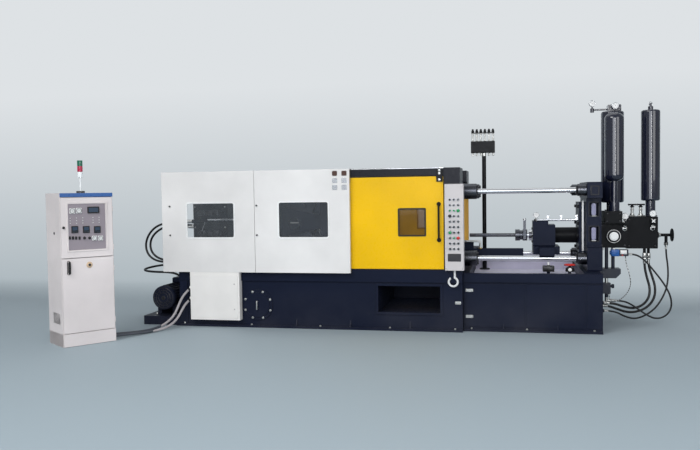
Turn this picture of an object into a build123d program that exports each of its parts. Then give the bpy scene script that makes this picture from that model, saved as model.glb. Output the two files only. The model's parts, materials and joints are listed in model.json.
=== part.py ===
from build123d import *
from math import cos, radians, sin
import os

os.makedirs("parts", exist_ok=True)

# A cold-chamber die casting machine with its control cabinet, in millimetres.
# X runs to the injection end, Y to the rear, Z up; the origin is on the floor
# under the middle of the two bases.

# Driving dimensions: the bases and the centre lines
CLAMP_BASE_LEFT = -2204.0
BASE_SPLIT = 866.0
BASE_GAP = 3.0
INJECTION_BASE_RIGHT = 2231.0
BASE_TOP = 592.0
CLAMP_BASE_HALF_WIDTH = 800.0
INJECTION_BASE_HALF_WIDTH = 720.0
FLANGE_REACH = 28.0
FLANGE_THICKNESS = 25.0
BEAM_HEIGHT = 90.0
BEAM_REACH = 20.0
SILL_HEIGHT = 40.0
SILL_WIDTH = 60.0
GUSSET_HEIGHT = 70.0
GUSSET_THICKNESS = 14.0
CLAMP_AXIS_Z = 1070.0
INJECTION_AXIS_Z = 940.0
SEAT_GAP = 0.3

# Platens and tie bars
TIE_BAR_RADIUS = 55.0
TIE_BAR_Y = 352.0
TIE_BAR_Z = 355.0
TIE_BAR_TAIL = 280.0
TIE_BAR_THREAD_RADIUS = 51.0
TIE_BAR_NUT_RADIUS = 82.0
TIE_BAR_NUT_LENGTH = 188.0
REAR_NUT_LENGTH = 110.0
BROKEN_EDGE = 5.0
SLIDING_CLEARANCE = 0.5
PLATEN_HALF_WIDTH = 450.0
PLATEN_HALF_HEIGHT = 468.0
PLATEN_CORNER = 45.0
FIXED_PLATEN_LEFT = 650.0
FIXED_PLATEN_THICKNESS = 160.0
MOVING_PLATEN_THICKNESS = 220.0
TAILSTOCK_LEFT = -1400.0
TAILSTOCK_THICKNESS = 200.0
SLEEVE_BORE_RADIUS = 55.0

# Double toggle: each main link pair is an isosceles triangle, so the platen
# moves straight along X while the links turn
LINK_LENGTH = 385.0
LINK_PIVOT_Z = 410.0
OPEN_ANGLE = 66.0
TAIL_PIVOT_REACH = 100.0
PLATEN_PIVOT_REACH = 90.0
PIN_RADIUS = 32.0
SMALL_PIN_RADIUS = 24.0
PIN_CLEARANCE = 0.08
OPEN_PIVOT_CLEARANCE = 8.0
TAIL_BOSS_RADIUS = 56.0
KNEE_BOSS_RADIUS = 49.0
SMALL_BOSS_RADIUS = 42.0
CROSS_LINK_BOSS_RADIUS = 40.0
CROSS_PIVOT_REACH = 257.0
CROSS_PIVOT_ANGLE = 24.1
CROSS_LINK_LENGTH = 133.0
CROSS_LINK_OPEN_ANGLE = 95.6
CROSS_LINK_INNER_Y = 60.0
CROSS_LINK_THICKNESS = 40.0
REAR_LINK_THICKNESS = 60.0
FRONT_LINK_THICKNESS = 50.0
EAR_THICKNESS = 40.0
SIDE_GAP = 4.0
CROSSHEAD_HALF_WIDTH = 55.0
CROSSHEAD_HALF_LENGTH = 38.0
PISTON_ROD_RADIUS = 35.0
ROD_PASSAGE = 5.0
CLAMP_CYLINDER_RADIUS = 112.0
CLAMP_CYLINDER_LENGTH = 520.0

# Guards, doors and rails
GUARD_STANDOFF = 80.0
GUARD_DEPTH = 40.0
GUARD_WALL = 3.0
GUARD_LEFT = -2358.0
GUARD_SEAM = -1304.0
GUARD_RIGHT = -275.0
GUARD_GAP = 4.0
GUARD_BOTTOM = 597.0
GUARD_TOP = 1676.0
WINDOW_BOTTOM = 971.0
WINDOW_TOP = 1337.0
WINDOW_CORNER = 22.0
WINDOW_WIDTH = 531.0
LEFT_WINDOW_X = -2066.0
RIGHT_WINDOW_X = -1034.0
POST_SIZE = 40.0
DOOR_THICKNESS = 40.0
DOOR_WALL = 4.0
DOOR_LEFT = -330.0
DOOR_RIGHT = 682.0
DOOR_BOTTOM = 640.0
DOOR_TOP = 1582.0
RAIL_BOTTOM = 1594.0
RAIL_TOP = 1673.0
RAIL_DEPTH = 40.0
DOOR_WINDOW_LEFT = 229.0
DOOR_WINDOW_WIDTH = 264.0
DOOR_WINDOW_BOTTOM = 986.0
DOOR_WINDOW_HEIGHT = 266.0
HANDLE_X = 635.0
BRACKET_LEFT = 690.0
BRACKET_RIGHT = 850.0
BRACKET_BOTTOM = 1502.0
BRACKET_TOP = 1668.0
PANEL_LEFT = 697.0
PANEL_RIGHT = 886.0
PANEL_BOTTOM = 633.0
PANEL_DEPTH = 110.0

# Injection end
INJECTION_ROD_RADIUS = 28.0
ROD_NUT_RADIUS = 62.0
ROD_NUT_LENGTH = 94.0
FRAME_LEFT = 2112.0
FRAME_THICKNESS = 150.0
FRAME_HALF_WIDTH = 428.0
FRAME_WAIST = 330.0
FRAME_TOP = 1505.0
FLANGE_PLATE_THICKNESS = 62.0
CYLINDER_RADIUS = 84.0
GUIDE_BLOCK_LEFT = 1580.0
GUIDE_BLOCK_LENGTH = 232.0
PLUNGER_RADIUS = 20.0
INJECTION_PISTON_RADIUS = 30.0
COUPLING_LEFT = 1395.0
COUPLING_LENGTH = 128.0
COUPLING_RADIUS = 62.0
BLOCK_RIGHT = 2538.0


def block(x, y, z, mode=Mode.ADD):
    """A block between two values on each axis."""
    middle = ((x[0] + x[1]) / 2, (y[0] + y[1]) / 2, (z[0] + z[1]) / 2)
    with Locations(middle):
        Box(x[1] - x[0], y[1] - y[0], z[1] - z[0], mode=mode)


def bar_x(x, y, z, radius, mode=Mode.ADD):
    """A round bar along X between two values of x."""
    with Locations(Location(((x[0] + x[1]) / 2, y, z), (0, 90, 0))):
        Cylinder(radius, x[1] - x[0], mode=mode)


def bar_y(x, y, z, radius, mode=Mode.ADD):
    """A round bar along Y between two values of y."""
    with Locations(Location((x, (y[0] + y[1]) / 2, z), (90, 0, 0))):
        Cylinder(radius, y[1] - y[0], mode=mode)


def bar_z(x, y, z, radius, mode=Mode.ADD):
    """A round bar along Z between two values of z."""
    with Locations((x, y, (z[0] + z[1]) / 2)):
        Cylinder(radius, z[1] - z[0], mode=mode)


def turned(start, direction, steps, edge=2.0):
    """A turned piece: steps of (radius, length) along an axis, outer edges broken."""
    along = Vector(*direction)
    upright = abs(along.Z) > abs(along.X) + abs(along.Y)
    half_plane_normal = (Vector(1, 0, 0) if upright else Vector(0, 0, 1)).cross(along)
    outline = [(0, 0)]
    reach = 0
    for index, (radius, length) in enumerate(steps):
        before = steps[index - 1][0] if index > 0 else 0
        after = steps[index + 1][0] if index + 1 < len(steps) else 0
        low = edge if before < radius else 0
        high = edge if after < radius else 0
        corners = [(radius - low, reach), (radius, reach + low),
                   (radius, reach + length - high), (radius - high, reach + length)]
        outline += [corner for corner in corners if corner != outline[-1]]
        reach += length
    outline = [point for index, point in enumerate(outline) if index == 0 or point != outline[index - 1]]
    with BuildSketch(Plane(origin=start, x_dir=along.cross(half_plane_normal), z_dir=half_plane_normal)) as half:
        with BuildLine():
            Polyline(*outline, (0, reach), close=True)
        make_face()
    revolve(half.sketch, axis=Axis(start, direction))


def bottle(x, y, z, radius, dome):
    """An upright bottle with domed ends: half its outline turned about its axis."""
    with BuildSketch(Plane(origin=(x, y, 0), x_dir=(1, 0, 0), z_dir=(0, -1, 0))) as half:
        with Locations((radius / 2, (z[0] + z[1]) / 2)):
            Rectangle(radius, z[1] - z[0])
        fillet(half.vertices().sort_by(Axis.X)[-2:], dome)
    revolve(half.sketch, axis=Axis((x, y, 0), (0, 0, 1)))


def side(face, depth, sign):
    """The span of y from a face inwards, on the front (-1) or the rear (1)."""
    return tuple(sorted((sign * face, sign * (face - depth))))


def save(part, name):
    part.label = name
    export_step(part, f"parts/{name}.step")


CLAMP_BEAM_Y = CLAMP_BASE_HALF_WIDTH + BEAM_REACH
INJECTION_BEAM_Y = INJECTION_BASE_HALF_WIDTH + BEAM_REACH
SILL_TOP = BASE_TOP + SILL_HEIGHT
GUARD_FACE_Y = CLAMP_BASE_HALF_WIDTH + GUARD_STANDOFF
DOOR_FACE_Y = CLAMP_BEAM_Y
FIXED_PLATEN_RIGHT = FIXED_PLATEN_LEFT + FIXED_PLATEN_THICKNESS
TAILSTOCK_RIGHT = TAILSTOCK_LEFT + TAILSTOCK_THICKNESS
FRAME_RIGHT = FRAME_LEFT + FRAME_THICKNESS
GUIDE_BLOCK_RIGHT = GUIDE_BLOCK_LEFT + GUIDE_BLOCK_LENGTH
COUPLING_RIGHT = COUPLING_LEFT + COUPLING_LENGTH


def gussets(places, half_width):
    """Small triangular gussets between a base's walls and its foot flange."""
    for x in places:
        for sign in (-1, 1):
            with BuildSketch(Plane.YZ.offset(x - GUSSET_THICKNESS / 2)) as web:
                with BuildLine():
                    Polyline((sign * half_width, FLANGE_THICKNESS),
                             (sign * (half_width + FLANGE_REACH), FLANGE_THICKNESS),
                             (sign * half_width, FLANGE_THICKNESS + GUSSET_HEIGHT), close=True)
                make_face()
            extrude(web.sketch, amount=GUSSET_THICKNESS)


# Clamp base: a welded housing with a way through for castings
DROP_LEFT = 0.0
DROP_WIDTH = 640.0
DROP_BOTTOM = 190.0
DROP_HEIGHT = 272.0
DROP_RIM_WIDTH = 26.0
DROP_RIM_REACH = 10.0
PIT_HALF_WIDTH = 285.0
END_POST_WIDTH = 90.0
FOOT_PLATE_REACH = 42.0
FOOT_PLATE_THICKNESS = 20.0
FOOT_PLATE_HEIGHT = 128.0
END_POST_REACH = 12.0
CLAMP_GUSSETS = (-880.0, -298.0, 330.0)
TANK_PORT_X = -2266.0
TANK_PORT_Y = -442.0
TANK_PORT_TOP = 250.0
TANK_PORT_RADIUS = 17.0
TANK_PORT_DROP = 25.0
clamp_x = (CLAMP_BASE_LEFT, BASE_SPLIT)
drop_x = (DROP_LEFT, DROP_LEFT + DROP_WIDTH)
drop_z = (DROP_BOTTOM, DROP_BOTTOM + DROP_HEIGHT)
flange_y = CLAMP_BASE_HALF_WIDTH + FLANGE_REACH
with BuildPart() as clamp_base:
    block(clamp_x, (-CLAMP_BASE_HALF_WIDTH, CLAMP_BASE_HALF_WIDTH), (0, BASE_TOP))
    block(clamp_x, (-flange_y, flange_y), (0, FLANGE_THICKNESS))
    block(clamp_x, (-CLAMP_BEAM_Y, CLAMP_BEAM_Y), (BASE_TOP - BEAM_HEIGHT, BASE_TOP))
    gussets(CLAMP_GUSSETS, CLAMP_BASE_HALF_WIDTH)
    for sign in (-1, 1):
        block((GUARD_SEAM + POST_SIZE / 2, BASE_SPLIT), side(CLAMP_BEAM_Y, SILL_WIDTH, sign),
              (BASE_TOP, SILL_TOP))
        block((CLAMP_BASE_LEFT, CLAMP_BASE_LEFT + END_POST_WIDTH),
              side(CLAMP_BASE_HALF_WIDTH + END_POST_REACH, END_POST_REACH, sign),
              (FLANGE_THICKNESS, BASE_TOP - BEAM_HEIGHT))
        block((CLAMP_BASE_LEFT - FOOT_PLATE_REACH, CLAMP_BASE_LEFT),
              side(CLAMP_BASE_HALF_WIDTH + END_POST_REACH, FOOT_PLATE_THICKNESS, sign), (0, FOOT_PLATE_HEIGHT))
    block((drop_x[0] - DROP_RIM_WIDTH, drop_x[1] + DROP_RIM_WIDTH),
          side(CLAMP_BASE_HALF_WIDTH + DROP_RIM_REACH, DROP_RIM_REACH, -1),
          (drop_z[0] - DROP_RIM_WIDTH, drop_z[1] + DROP_RIM_WIDTH))
    bar_x((TANK_PORT_X, CLAMP_BASE_LEFT + 1), TANK_PORT_Y, TANK_PORT_TOP - TANK_PORT_DROP, TANK_PORT_RADIUS)
    bar_z(TANK_PORT_X, TANK_PORT_Y, (TANK_PORT_TOP - 2 * TANK_PORT_DROP, TANK_PORT_TOP), TANK_PORT_RADIUS)
    block(drop_x, (-CLAMP_BEAM_Y - 1, PIT_HALF_WIDTH), drop_z, Mode.SUBTRACT)
    block(drop_x, (-PIT_HALF_WIDTH, PIT_HALF_WIDTH), (DROP_BOTTOM, BASE_TOP + 1), Mode.SUBTRACT)
save(clamp_base.part, "clamp_base")

# Injection base: a closed housing with an oil tray in its top, and the stems
# of the tray's drain knob and lubricant valve
TRAY_RIM = 60.0
TRAY_DEPTH = 95.0
TRAY_RIGHT = 2060.0
INJECTION_GUSSETS = (1270.0, 1800.0)
TRAY_STEM_RADIUS = 16.0
DRAIN_STEM_PLACE = (1722.0, -500.0)
DRAIN_STEM_TOP = 600.0
VALVE_STEM_PLACE = (1928.0, -560.0)
VALVE_STEM_TOP = 665.0
HOSE_PORT_RADIUS = 19.0
HOSE_PORT_LENGTH = 54.0
HOSE_PORTS = ((-292.0, 248.0), (-168.0, 200.0), (-330.0, 172.0))
injection_x = (BASE_SPLIT + BASE_GAP, INJECTION_BASE_RIGHT)
flange_y = INJECTION_BASE_HALF_WIDTH + FLANGE_REACH
TRAY_HALF_WIDTH = INJECTION_BEAM_Y - TRAY_RIM
with BuildPart() as injection_base:
    block(injection_x, (-INJECTION_BASE_HALF_WIDTH, INJECTION_BASE_HALF_WIDTH), (0, BASE_TOP))
    block(injection_x, (-flange_y, flange_y), (0, FLANGE_THICKNESS))
    block(injection_x, (-INJECTION_BEAM_Y, INJECTION_BEAM_Y), (BASE_TOP - BEAM_HEIGHT, BASE_TOP))
    gussets(INJECTION_GUSSETS, INJECTION_BASE_HALF_WIDTH)
    block((injection_x[0] + TRAY_RIM, TRAY_RIGHT), (-TRAY_HALF_WIDTH, TRAY_HALF_WIDTH),
          (BASE_TOP - TRAY_DEPTH, BASE_TOP + 1), Mode.SUBTRACT)
    bar_z(*DRAIN_STEM_PLACE, (BASE_TOP - TRAY_DEPTH, DRAIN_STEM_TOP), TRAY_STEM_RADIUS)
    bar_z(*VALVE_STEM_PLACE, (BASE_TOP - TRAY_DEPTH, VALVE_STEM_TOP), TRAY_STEM_RADIUS)
    for y, z in HOSE_PORTS:
        turned((INJECTION_BASE_RIGHT, y, z), (1, 0, 0),
               [(HOSE_PORT_RADIUS + 4, 18), (HOSE_PORT_RADIUS, HOSE_PORT_LENGTH - 18)])
save(injection_base.part, "injection_base")

# Round inspection cover and the junction box on the clamp base's front
COVER_X = -1309.0
COVER_Z = 243.0
COVER_RADIUS = 165.0
COVER_THICKNESS = 22.0
COVER_RING = 30.0
with BuildPart() as round_cover:
    turned((COVER_X, -CLAMP_BASE_HALF_WIDTH, COVER_Z), (0, -1, 0),
           [(COVER_RADIUS, COVER_THICKNESS * 0.55), (COVER_RADIUS - COVER_RING, COVER_THICKNESS * 0.45)])
save(round_cover.part, "round_cover")

JUNCTION_LEFT = -2048.0
JUNCTION_WIDTH = 560.0
JUNCTION_BOTTOM = 82.0
CONDUIT_GLAND_RADIUS = 22.0
CONDUIT_GLAND_LENGTH = 22.0
CONDUIT_GLAND_INSET = 6.0
CONDUIT_GLAND_TILT = 40.0
CONDUIT_GLANDS_Z = (432.0, 316.0)
GLAND_Y = 850.0
gland_tilt = radians(CONDUIT_GLAND_TILT)
gland_way = (-cos(gland_tilt), 0, -sin(gland_tilt))
with BuildPart() as junction_box:
    block((JUNCTION_LEFT, JUNCTION_LEFT + JUNCTION_WIDTH),
          side(GUARD_FACE_Y, GUARD_FACE_Y - CLAMP_BASE_HALF_WIDTH, -1),
          (JUNCTION_BOTTOM, BASE_TOP - BEAM_HEIGHT))
    block((JUNCTION_LEFT, JUNCTION_LEFT + JUNCTION_WIDTH),
          side(GUARD_FACE_Y, GUARD_FACE_Y - CLAMP_BEAM_Y, -1),
          (BASE_TOP - BEAM_HEIGHT, GUARD_BOTTOM - SEAT_GAP))
    for z in CONDUIT_GLANDS_Z:
        turned((JUNCTION_LEFT + CONDUIT_GLAND_INSET, -GLAND_Y, z), gland_way,
               [(CONDUIT_GLAND_RADIUS, CONDUIT_GLAND_LENGTH / 2),
                (CONDUIT_GLAND_RADIUS - 3, CONDUIT_GLAND_LENGTH / 2)], 1.0)
save(junction_box.part, "junction_box")

# Tailstock, fixed platen, tie bars
TAIL_PIVOT_X = TAILSTOCK_RIGHT + TAIL_PIVOT_REACH
CHEEK_INNER_Y = 230.0
CHEEK_THICKNESS = 26.0
CHEEK_RIM = 5.0
CHEEK_LENGTH = 455.0
CHEEK_RISE = 38.0
CHEEK_ROOT_HALF_HEIGHT = 172.0
CHEEK_TIP_HALF_HEIGHT = 74.0
CHEEK_HOLE_REACH = 153.0
CHEEK_HOLE_RADIUS = 74.0
CHEEK_BORDER = 24.0
tie_bar_places = [(y, CLAMP_AXIS_Z + z) for y in (-TIE_BAR_Y, TIE_BAR_Y) for z in (-TIE_BAR_Z, TIE_BAR_Z)]
REAR_LINK_Y = CROSS_LINK_INNER_Y + CROSS_LINK_THICKNESS + SIDE_GAP
FRONT_LINK_Y = REAR_LINK_Y + REAR_LINK_THICKNESS + SIDE_GAP
OUTER_EAR_Y = FRONT_LINK_Y + FRONT_LINK_THICKNESS + SIDE_GAP


def platen_plate(left, thickness, bore, bottom=BASE_TOP):
    """A platen's plate with chamfered corners and its four tie bar bores."""
    top = CLAMP_AXIS_Z + PLATEN_HALF_HEIGHT
    with BuildSketch(Plane.YZ.offset(left)) as plate:
        with Locations((0, (top + bottom) / 2)):
            outline = Rectangle(2 * PLATEN_HALF_WIDTH, top - bottom)
        chamfer(outline.vertices(), PLATEN_CORNER)
        with Locations(*tie_bar_places):
            Circle(bore, mode=Mode.SUBTRACT)
    extrude(plate.sketch, amount=thickness)


def pivot_z(sign, height):
    """A height above (1) or below (-1) the clamp's centre line."""
    return CLAMP_AXIS_Z + sign * height


def ear(pivot_x, root_x, z, radius, y):
    """A lug with a round end at the pivot and a square root on a platen."""
    with BuildSketch(Plane.XZ.offset(-y[1])) as lug:
        with Locations((pivot_x, z)):
            Circle(radius)
        with Locations(((pivot_x + root_x) / 2, z)):
            Rectangle(abs(root_x - pivot_x), 2 * radius)
    extrude(lug.sketch, amount=y[1] - y[0])


def both_sides(near, thickness):
    """The spans of y of a pair of plates, on the front and on the rear."""
    return [tuple(sorted((sign * near, sign * (near + thickness)))) for sign in (-1, 1)]


def cheek_corners(border):
    """The corners of a tailstock cheek's tapered outline, drawn in by a border."""
    root = CHEEK_ROOT_HALF_HEIGHT - border
    tip = CHEEK_TIP_HALF_HEIGHT - border
    middle = CLAMP_AXIS_Z + CHEEK_RISE
    tip_x = TAILSTOCK_RIGHT + CHEEK_LENGTH - border
    return [(TAILSTOCK_RIGHT, middle - root), (tip_x, middle - tip), (tip_x, middle + tip),
            (TAILSTOCK_RIGHT, middle + root)]


def tailstock_cheek(sign):
    """A tapered cheek with a raised rim and a round hole beside the piston rod."""
    inner, outer = CHEEK_INNER_Y, CHEEK_INNER_Y + CHEEK_THICKNESS
    with BuildSketch(Plane.XZ.offset(-max(sign * inner, sign * outer))) as plate:
        with BuildLine():
            Polyline(*cheek_corners(0), close=True)
        make_face()
    extrude(plate.sketch, amount=CHEEK_THICKNESS)
    recess_y = side(outer, CHEEK_RIM, sign)
    with BuildSketch(Plane.XZ.offset(-recess_y[1])) as recess:
        with BuildLine():
            Polyline(*cheek_corners(CHEEK_BORDER), close=True)
        make_face()
        with Locations((TAILSTOCK_RIGHT + CHEEK_HOLE_REACH, CLAMP_AXIS_Z + CHEEK_RISE / 2)):
            Circle(CHEEK_HOLE_RADIUS + CHEEK_BORDER / 2, mode=Mode.SUBTRACT)
    extrude(recess.sketch, amount=CHEEK_RIM, mode=Mode.SUBTRACT)
    bar_y(TAILSTOCK_RIGHT + CHEEK_HOLE_REACH, side(outer + 1, CHEEK_THICKNESS + 2, sign),
          CLAMP_AXIS_Z + CHEEK_RISE / 2, CHEEK_HOLE_RADIUS, Mode.SUBTRACT)


with BuildPart() as tailstock:
    platen_plate(TAILSTOCK_LEFT, TAILSTOCK_THICKNESS, TIE_BAR_RADIUS)
    for side_sign in (-1, 1):
        tailstock_cheek(side_sign)
        for sign in (-1, 1):
            z = pivot_z(sign, LINK_PIVOT_Z)
            for near, far in ((CROSS_LINK_INNER_Y, REAR_LINK_Y - SIDE_GAP),
                              (FRONT_LINK_Y, FRONT_LINK_Y + FRONT_LINK_THICKNESS)):
                ear(TAIL_PIVOT_X, TAILSTOCK_RIGHT, z, TAIL_BOSS_RADIUS,
                    tuple(sorted((side_sign * near, side_sign * far))))
            bar_y(TAIL_PIVOT_X, tuple(sorted((side_sign * CROSS_LINK_INNER_Y,
                                              side_sign * (FRONT_LINK_Y + FRONT_LINK_THICKNESS)))),
                  z, PIN_RADIUS)
    bar_x((TAILSTOCK_LEFT - 1, TAILSTOCK_RIGHT + 1), 0, CLAMP_AXIS_Z, PISTON_ROD_RADIUS + ROD_PASSAGE,
          Mode.SUBTRACT)
save(tailstock.part, "tailstock")

# The fixed platen carries a flat guide bar on a bracket towards the plunger
GUIDE_BAR_Y = -300.0
GUIDE_BAR_THICKNESS = 30.0
GUIDE_BAR_LEFT = 953.0
GUIDE_BAR_RIGHT = 1477.0
GUIDE_BAR_BOTTOM = 722.0
GUIDE_BAR_HEIGHT = 88.0
GUIDE_BRACKET_HEIGHT = 152.0
with BuildPart() as fixed_platen:
    platen_plate(FIXED_PLATEN_LEFT, FIXED_PLATEN_THICKNESS, TIE_BAR_RADIUS)
    bar_y_span = (GUIDE_BAR_Y + TIE_BAR_NUT_RADIUS, GUIDE_BAR_Y + TIE_BAR_NUT_RADIUS + GUIDE_BAR_THICKNESS)
    block((FIXED_PLATEN_RIGHT, GUIDE_BAR_RIGHT), bar_y_span,
          (GUIDE_BAR_BOTTOM, GUIDE_BAR_BOTTOM + GUIDE_BAR_HEIGHT))
    block((FIXED_PLATEN_RIGHT, GUIDE_BAR_LEFT), bar_y_span,
          (GUIDE_BAR_BOTTOM, GUIDE_BAR_BOTTOM + GUIDE_BRACKET_HEIGHT))
    bar_x((FIXED_PLATEN_LEFT - 1, FIXED_PLATEN_RIGHT + 1), 0, INJECTION_AXIS_Z,
          SLEEVE_BORE_RADIUS, Mode.SUBTRACT)
save(fixed_platen.part, "fixed_platen")

bar_length = FIXED_PLATEN_RIGHT - TAILSTOCK_LEFT
with BuildPart() as tie_bars:
    for y, z in tie_bar_places:
        turned((TAILSTOCK_LEFT - TIE_BAR_TAIL, y, z), (1, 0, 0),
               [(TIE_BAR_THREAD_RADIUS, TIE_BAR_TAIL - REAR_NUT_LENGTH),
                (TIE_BAR_NUT_RADIUS, REAR_NUT_LENGTH), (TIE_BAR_RADIUS, bar_length),
                (TIE_BAR_NUT_RADIUS, TIE_BAR_NUT_LENGTH)], BROKEN_EDGE)
save(tie_bars.part, "tie_bars")

# Clamp cylinder behind the tailstock, hollow for the piston rod
CYLINDER_FLANGE_LENGTH = 50.0
CYLINDER_FLANGE_REACH = 40.0
CYLINDER_CAP_LENGTH = 60.0
CYLINDER_CAP_REACH = 22.0
CYLINDER_CAP_WALL = 30.0
with BuildPart() as clamp_cylinder:
    turned((TAILSTOCK_LEFT - CLAMP_CYLINDER_LENGTH, 0, CLAMP_AXIS_Z), (1, 0, 0),
           [(CLAMP_CYLINDER_RADIUS + CYLINDER_CAP_REACH, CYLINDER_CAP_LENGTH),
            (CLAMP_CYLINDER_RADIUS, CLAMP_CYLINDER_LENGTH - CYLINDER_CAP_LENGTH - CYLINDER_FLANGE_LENGTH),
            (CLAMP_CYLINDER_RADIUS + CYLINDER_FLANGE_REACH, CYLINDER_FLANGE_LENGTH)], BROKEN_EDGE)
    bar_x((TAILSTOCK_LEFT - CLAMP_CYLINDER_LENGTH + CYLINDER_CAP_WALL, TAILSTOCK_LEFT), 0,
          CLAMP_AXIS_Z, PISTON_ROD_RADIUS + ROD_PASSAGE, Mode.SUBTRACT)
save(clamp_cylinder.part, "clamp_cylinder")

# Valve block of the clamp: a tall manifold in front of the clamp cylinder, with
# a pipe across its face and the ports of the hoses at its left
VALVE_BLOCK_LEFT = -2196.0
VALVE_BLOCK_WIDTH = 412.0
VALVE_BLOCK_Y = (-430.0, -170.0)
VALVE_BLOCK_TOP = 1326.0
VALVE_PIPE_Z = 1128.0
VALVE_PIPE_RADIUS = 21.0
VALVE_PIPE_LEFT = -2300.0
VALVE_PIPE_RIGHT = -1620.0
CLAMP_PORT_RADIUS = 21.0
CLAMP_PORT_LENGTH = 34.0
CLAMP_PORTS = ((-240.0, 1075.0), (-345.0, 1060.0), (-345.0, 690.0), (-240.0, 672.0), (-190.0, 634.0))
with BuildPart() as clamp_valve_block:
    block((VALVE_BLOCK_LEFT, VALVE_BLOCK_LEFT + VALVE_BLOCK_WIDTH), VALVE_BLOCK_Y,
          (BASE_TOP, VALVE_BLOCK_TOP))
    chamfer(clamp_valve_block.edges().filter_by(Axis.Z), 8)
    pipe_y = VALVE_BLOCK_Y[0] - VALVE_PIPE_RADIUS - 2
    bar_x((VALVE_PIPE_LEFT, VALVE_PIPE_RIGHT), pipe_y, VALVE_PIPE_Z, VALVE_PIPE_RADIUS)
    for x in (VALVE_BLOCK_LEFT + 80, VALVE_BLOCK_LEFT + VALVE_BLOCK_WIDTH - 80):
        bar_y(x, (pipe_y, VALVE_BLOCK_Y[0] + 5), VALVE_PIPE_Z, VALVE_PIPE_RADIUS)
    for y, z in CLAMP_PORTS:
        turned((VALVE_BLOCK_LEFT, y, z), (-1, 0, 0),
               [(CLAMP_PORT_RADIUS, CLAMP_PORT_LENGTH / 2), (CLAMP_PORT_RADIUS - 4, CLAMP_PORT_LENGTH / 2)])
save(clamp_valve_block.part, "clamp_valve_block")

# Toggle geometry in the open pose, as heights above the clamp's centre line
open_turn = radians(OPEN_ANGLE)
KNEE_X = TAIL_PIVOT_X + LINK_LENGTH * cos(open_turn)
KNEE_Z = LINK_PIVOT_Z - LINK_LENGTH * sin(open_turn)
PLATEN_PIVOT_X = TAIL_PIVOT_X + 2 * LINK_LENGTH * cos(open_turn)
cross_turn = radians(OPEN_ANGLE + CROSS_PIVOT_ANGLE)
CROSS_X = TAIL_PIVOT_X + CROSS_PIVOT_REACH * cos(cross_turn)
CROSS_Z = LINK_PIVOT_Z - CROSS_PIVOT_REACH * sin(cross_turn)
short_turn = radians(CROSS_LINK_OPEN_ANGLE)
CROSSHEAD_X = CROSS_X + CROSS_LINK_LENGTH * cos(short_turn)
CROSSHEAD_PIN_Z = CROSS_Z + CROSS_LINK_LENGTH * sin(short_turn)


def link_plate(pivots, y, holes):
    """A link: round bosses joined by their common outline, with pin holes."""
    with BuildSketch(Plane.XZ.offset(-y[1])) as plate:
        for x, z, radius in pivots:
            with Locations((x, z)):
                Circle(radius)
        make_hull()
        for x, z, radius in holes:
            with Locations((x, z)):
                Circle(radius, mode=Mode.SUBTRACT)
    extrude(plate.sketch, amount=y[1] - y[0])


for name, sign in (("upper", 1), ("lower", -1)):
    tail = (TAIL_PIVOT_X, pivot_z(sign, LINK_PIVOT_Z))
    knee = (KNEE_X, pivot_z(sign, KNEE_Z))
    cross = (CROSS_X, pivot_z(sign, CROSS_Z))
    platen = (PLATEN_PIVOT_X, pivot_z(sign, LINK_PIVOT_Z))
    head = (CROSSHEAD_X, pivot_z(sign, CROSSHEAD_PIN_Z))
    loose = 0.0 if sign > 0 else OPEN_PIVOT_CLEARANCE
    with BuildPart() as rear_links:
        for y in both_sides(REAR_LINK_Y, REAR_LINK_THICKNESS):
            link_plate([(*tail, TAIL_BOSS_RADIUS), (*knee, KNEE_BOSS_RADIUS),
                        (*cross, SMALL_BOSS_RADIUS)], y, [(*tail, PIN_RADIUS + PIN_CLEARANCE)])
        for y in both_sides(REAR_LINK_Y, REAR_LINK_THICKNESS + SIDE_GAP + FRONT_LINK_THICKNESS):
            bar_y(knee[0], y, knee[1], PIN_RADIUS)
        for y in both_sides(CROSS_LINK_INNER_Y, REAR_LINK_Y - CROSS_LINK_INNER_Y):
            bar_y(cross[0], y, cross[1], SMALL_PIN_RADIUS)
    save(rear_links.part, f"rear_links_{name}")
    with BuildPart() as front_links:
        for y in both_sides(FRONT_LINK_Y, FRONT_LINK_THICKNESS):
            link_plate([(*knee, KNEE_BOSS_RADIUS), (*platen, TAIL_BOSS_RADIUS)], y,
                       [(*knee, PIN_RADIUS + PIN_CLEARANCE),
                        (*platen, PIN_RADIUS + PIN_CLEARANCE + loose)])
    save(front_links.part, f"front_links_{name}")
    with BuildPart() as crosshead_links:
        for y in both_sides(CROSS_LINK_INNER_Y, CROSS_LINK_THICKNESS):
            link_plate([(*cross, CROSS_LINK_BOSS_RADIUS), (*head, CROSS_LINK_BOSS_RADIUS)], y,
                       [(*cross, SMALL_PIN_RADIUS + PIN_CLEARANCE),
                        (*head, SMALL_PIN_RADIUS + PIN_CLEARANCE + loose)])
    save(crosshead_links.part, f"crosshead_links_{name}")

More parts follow.
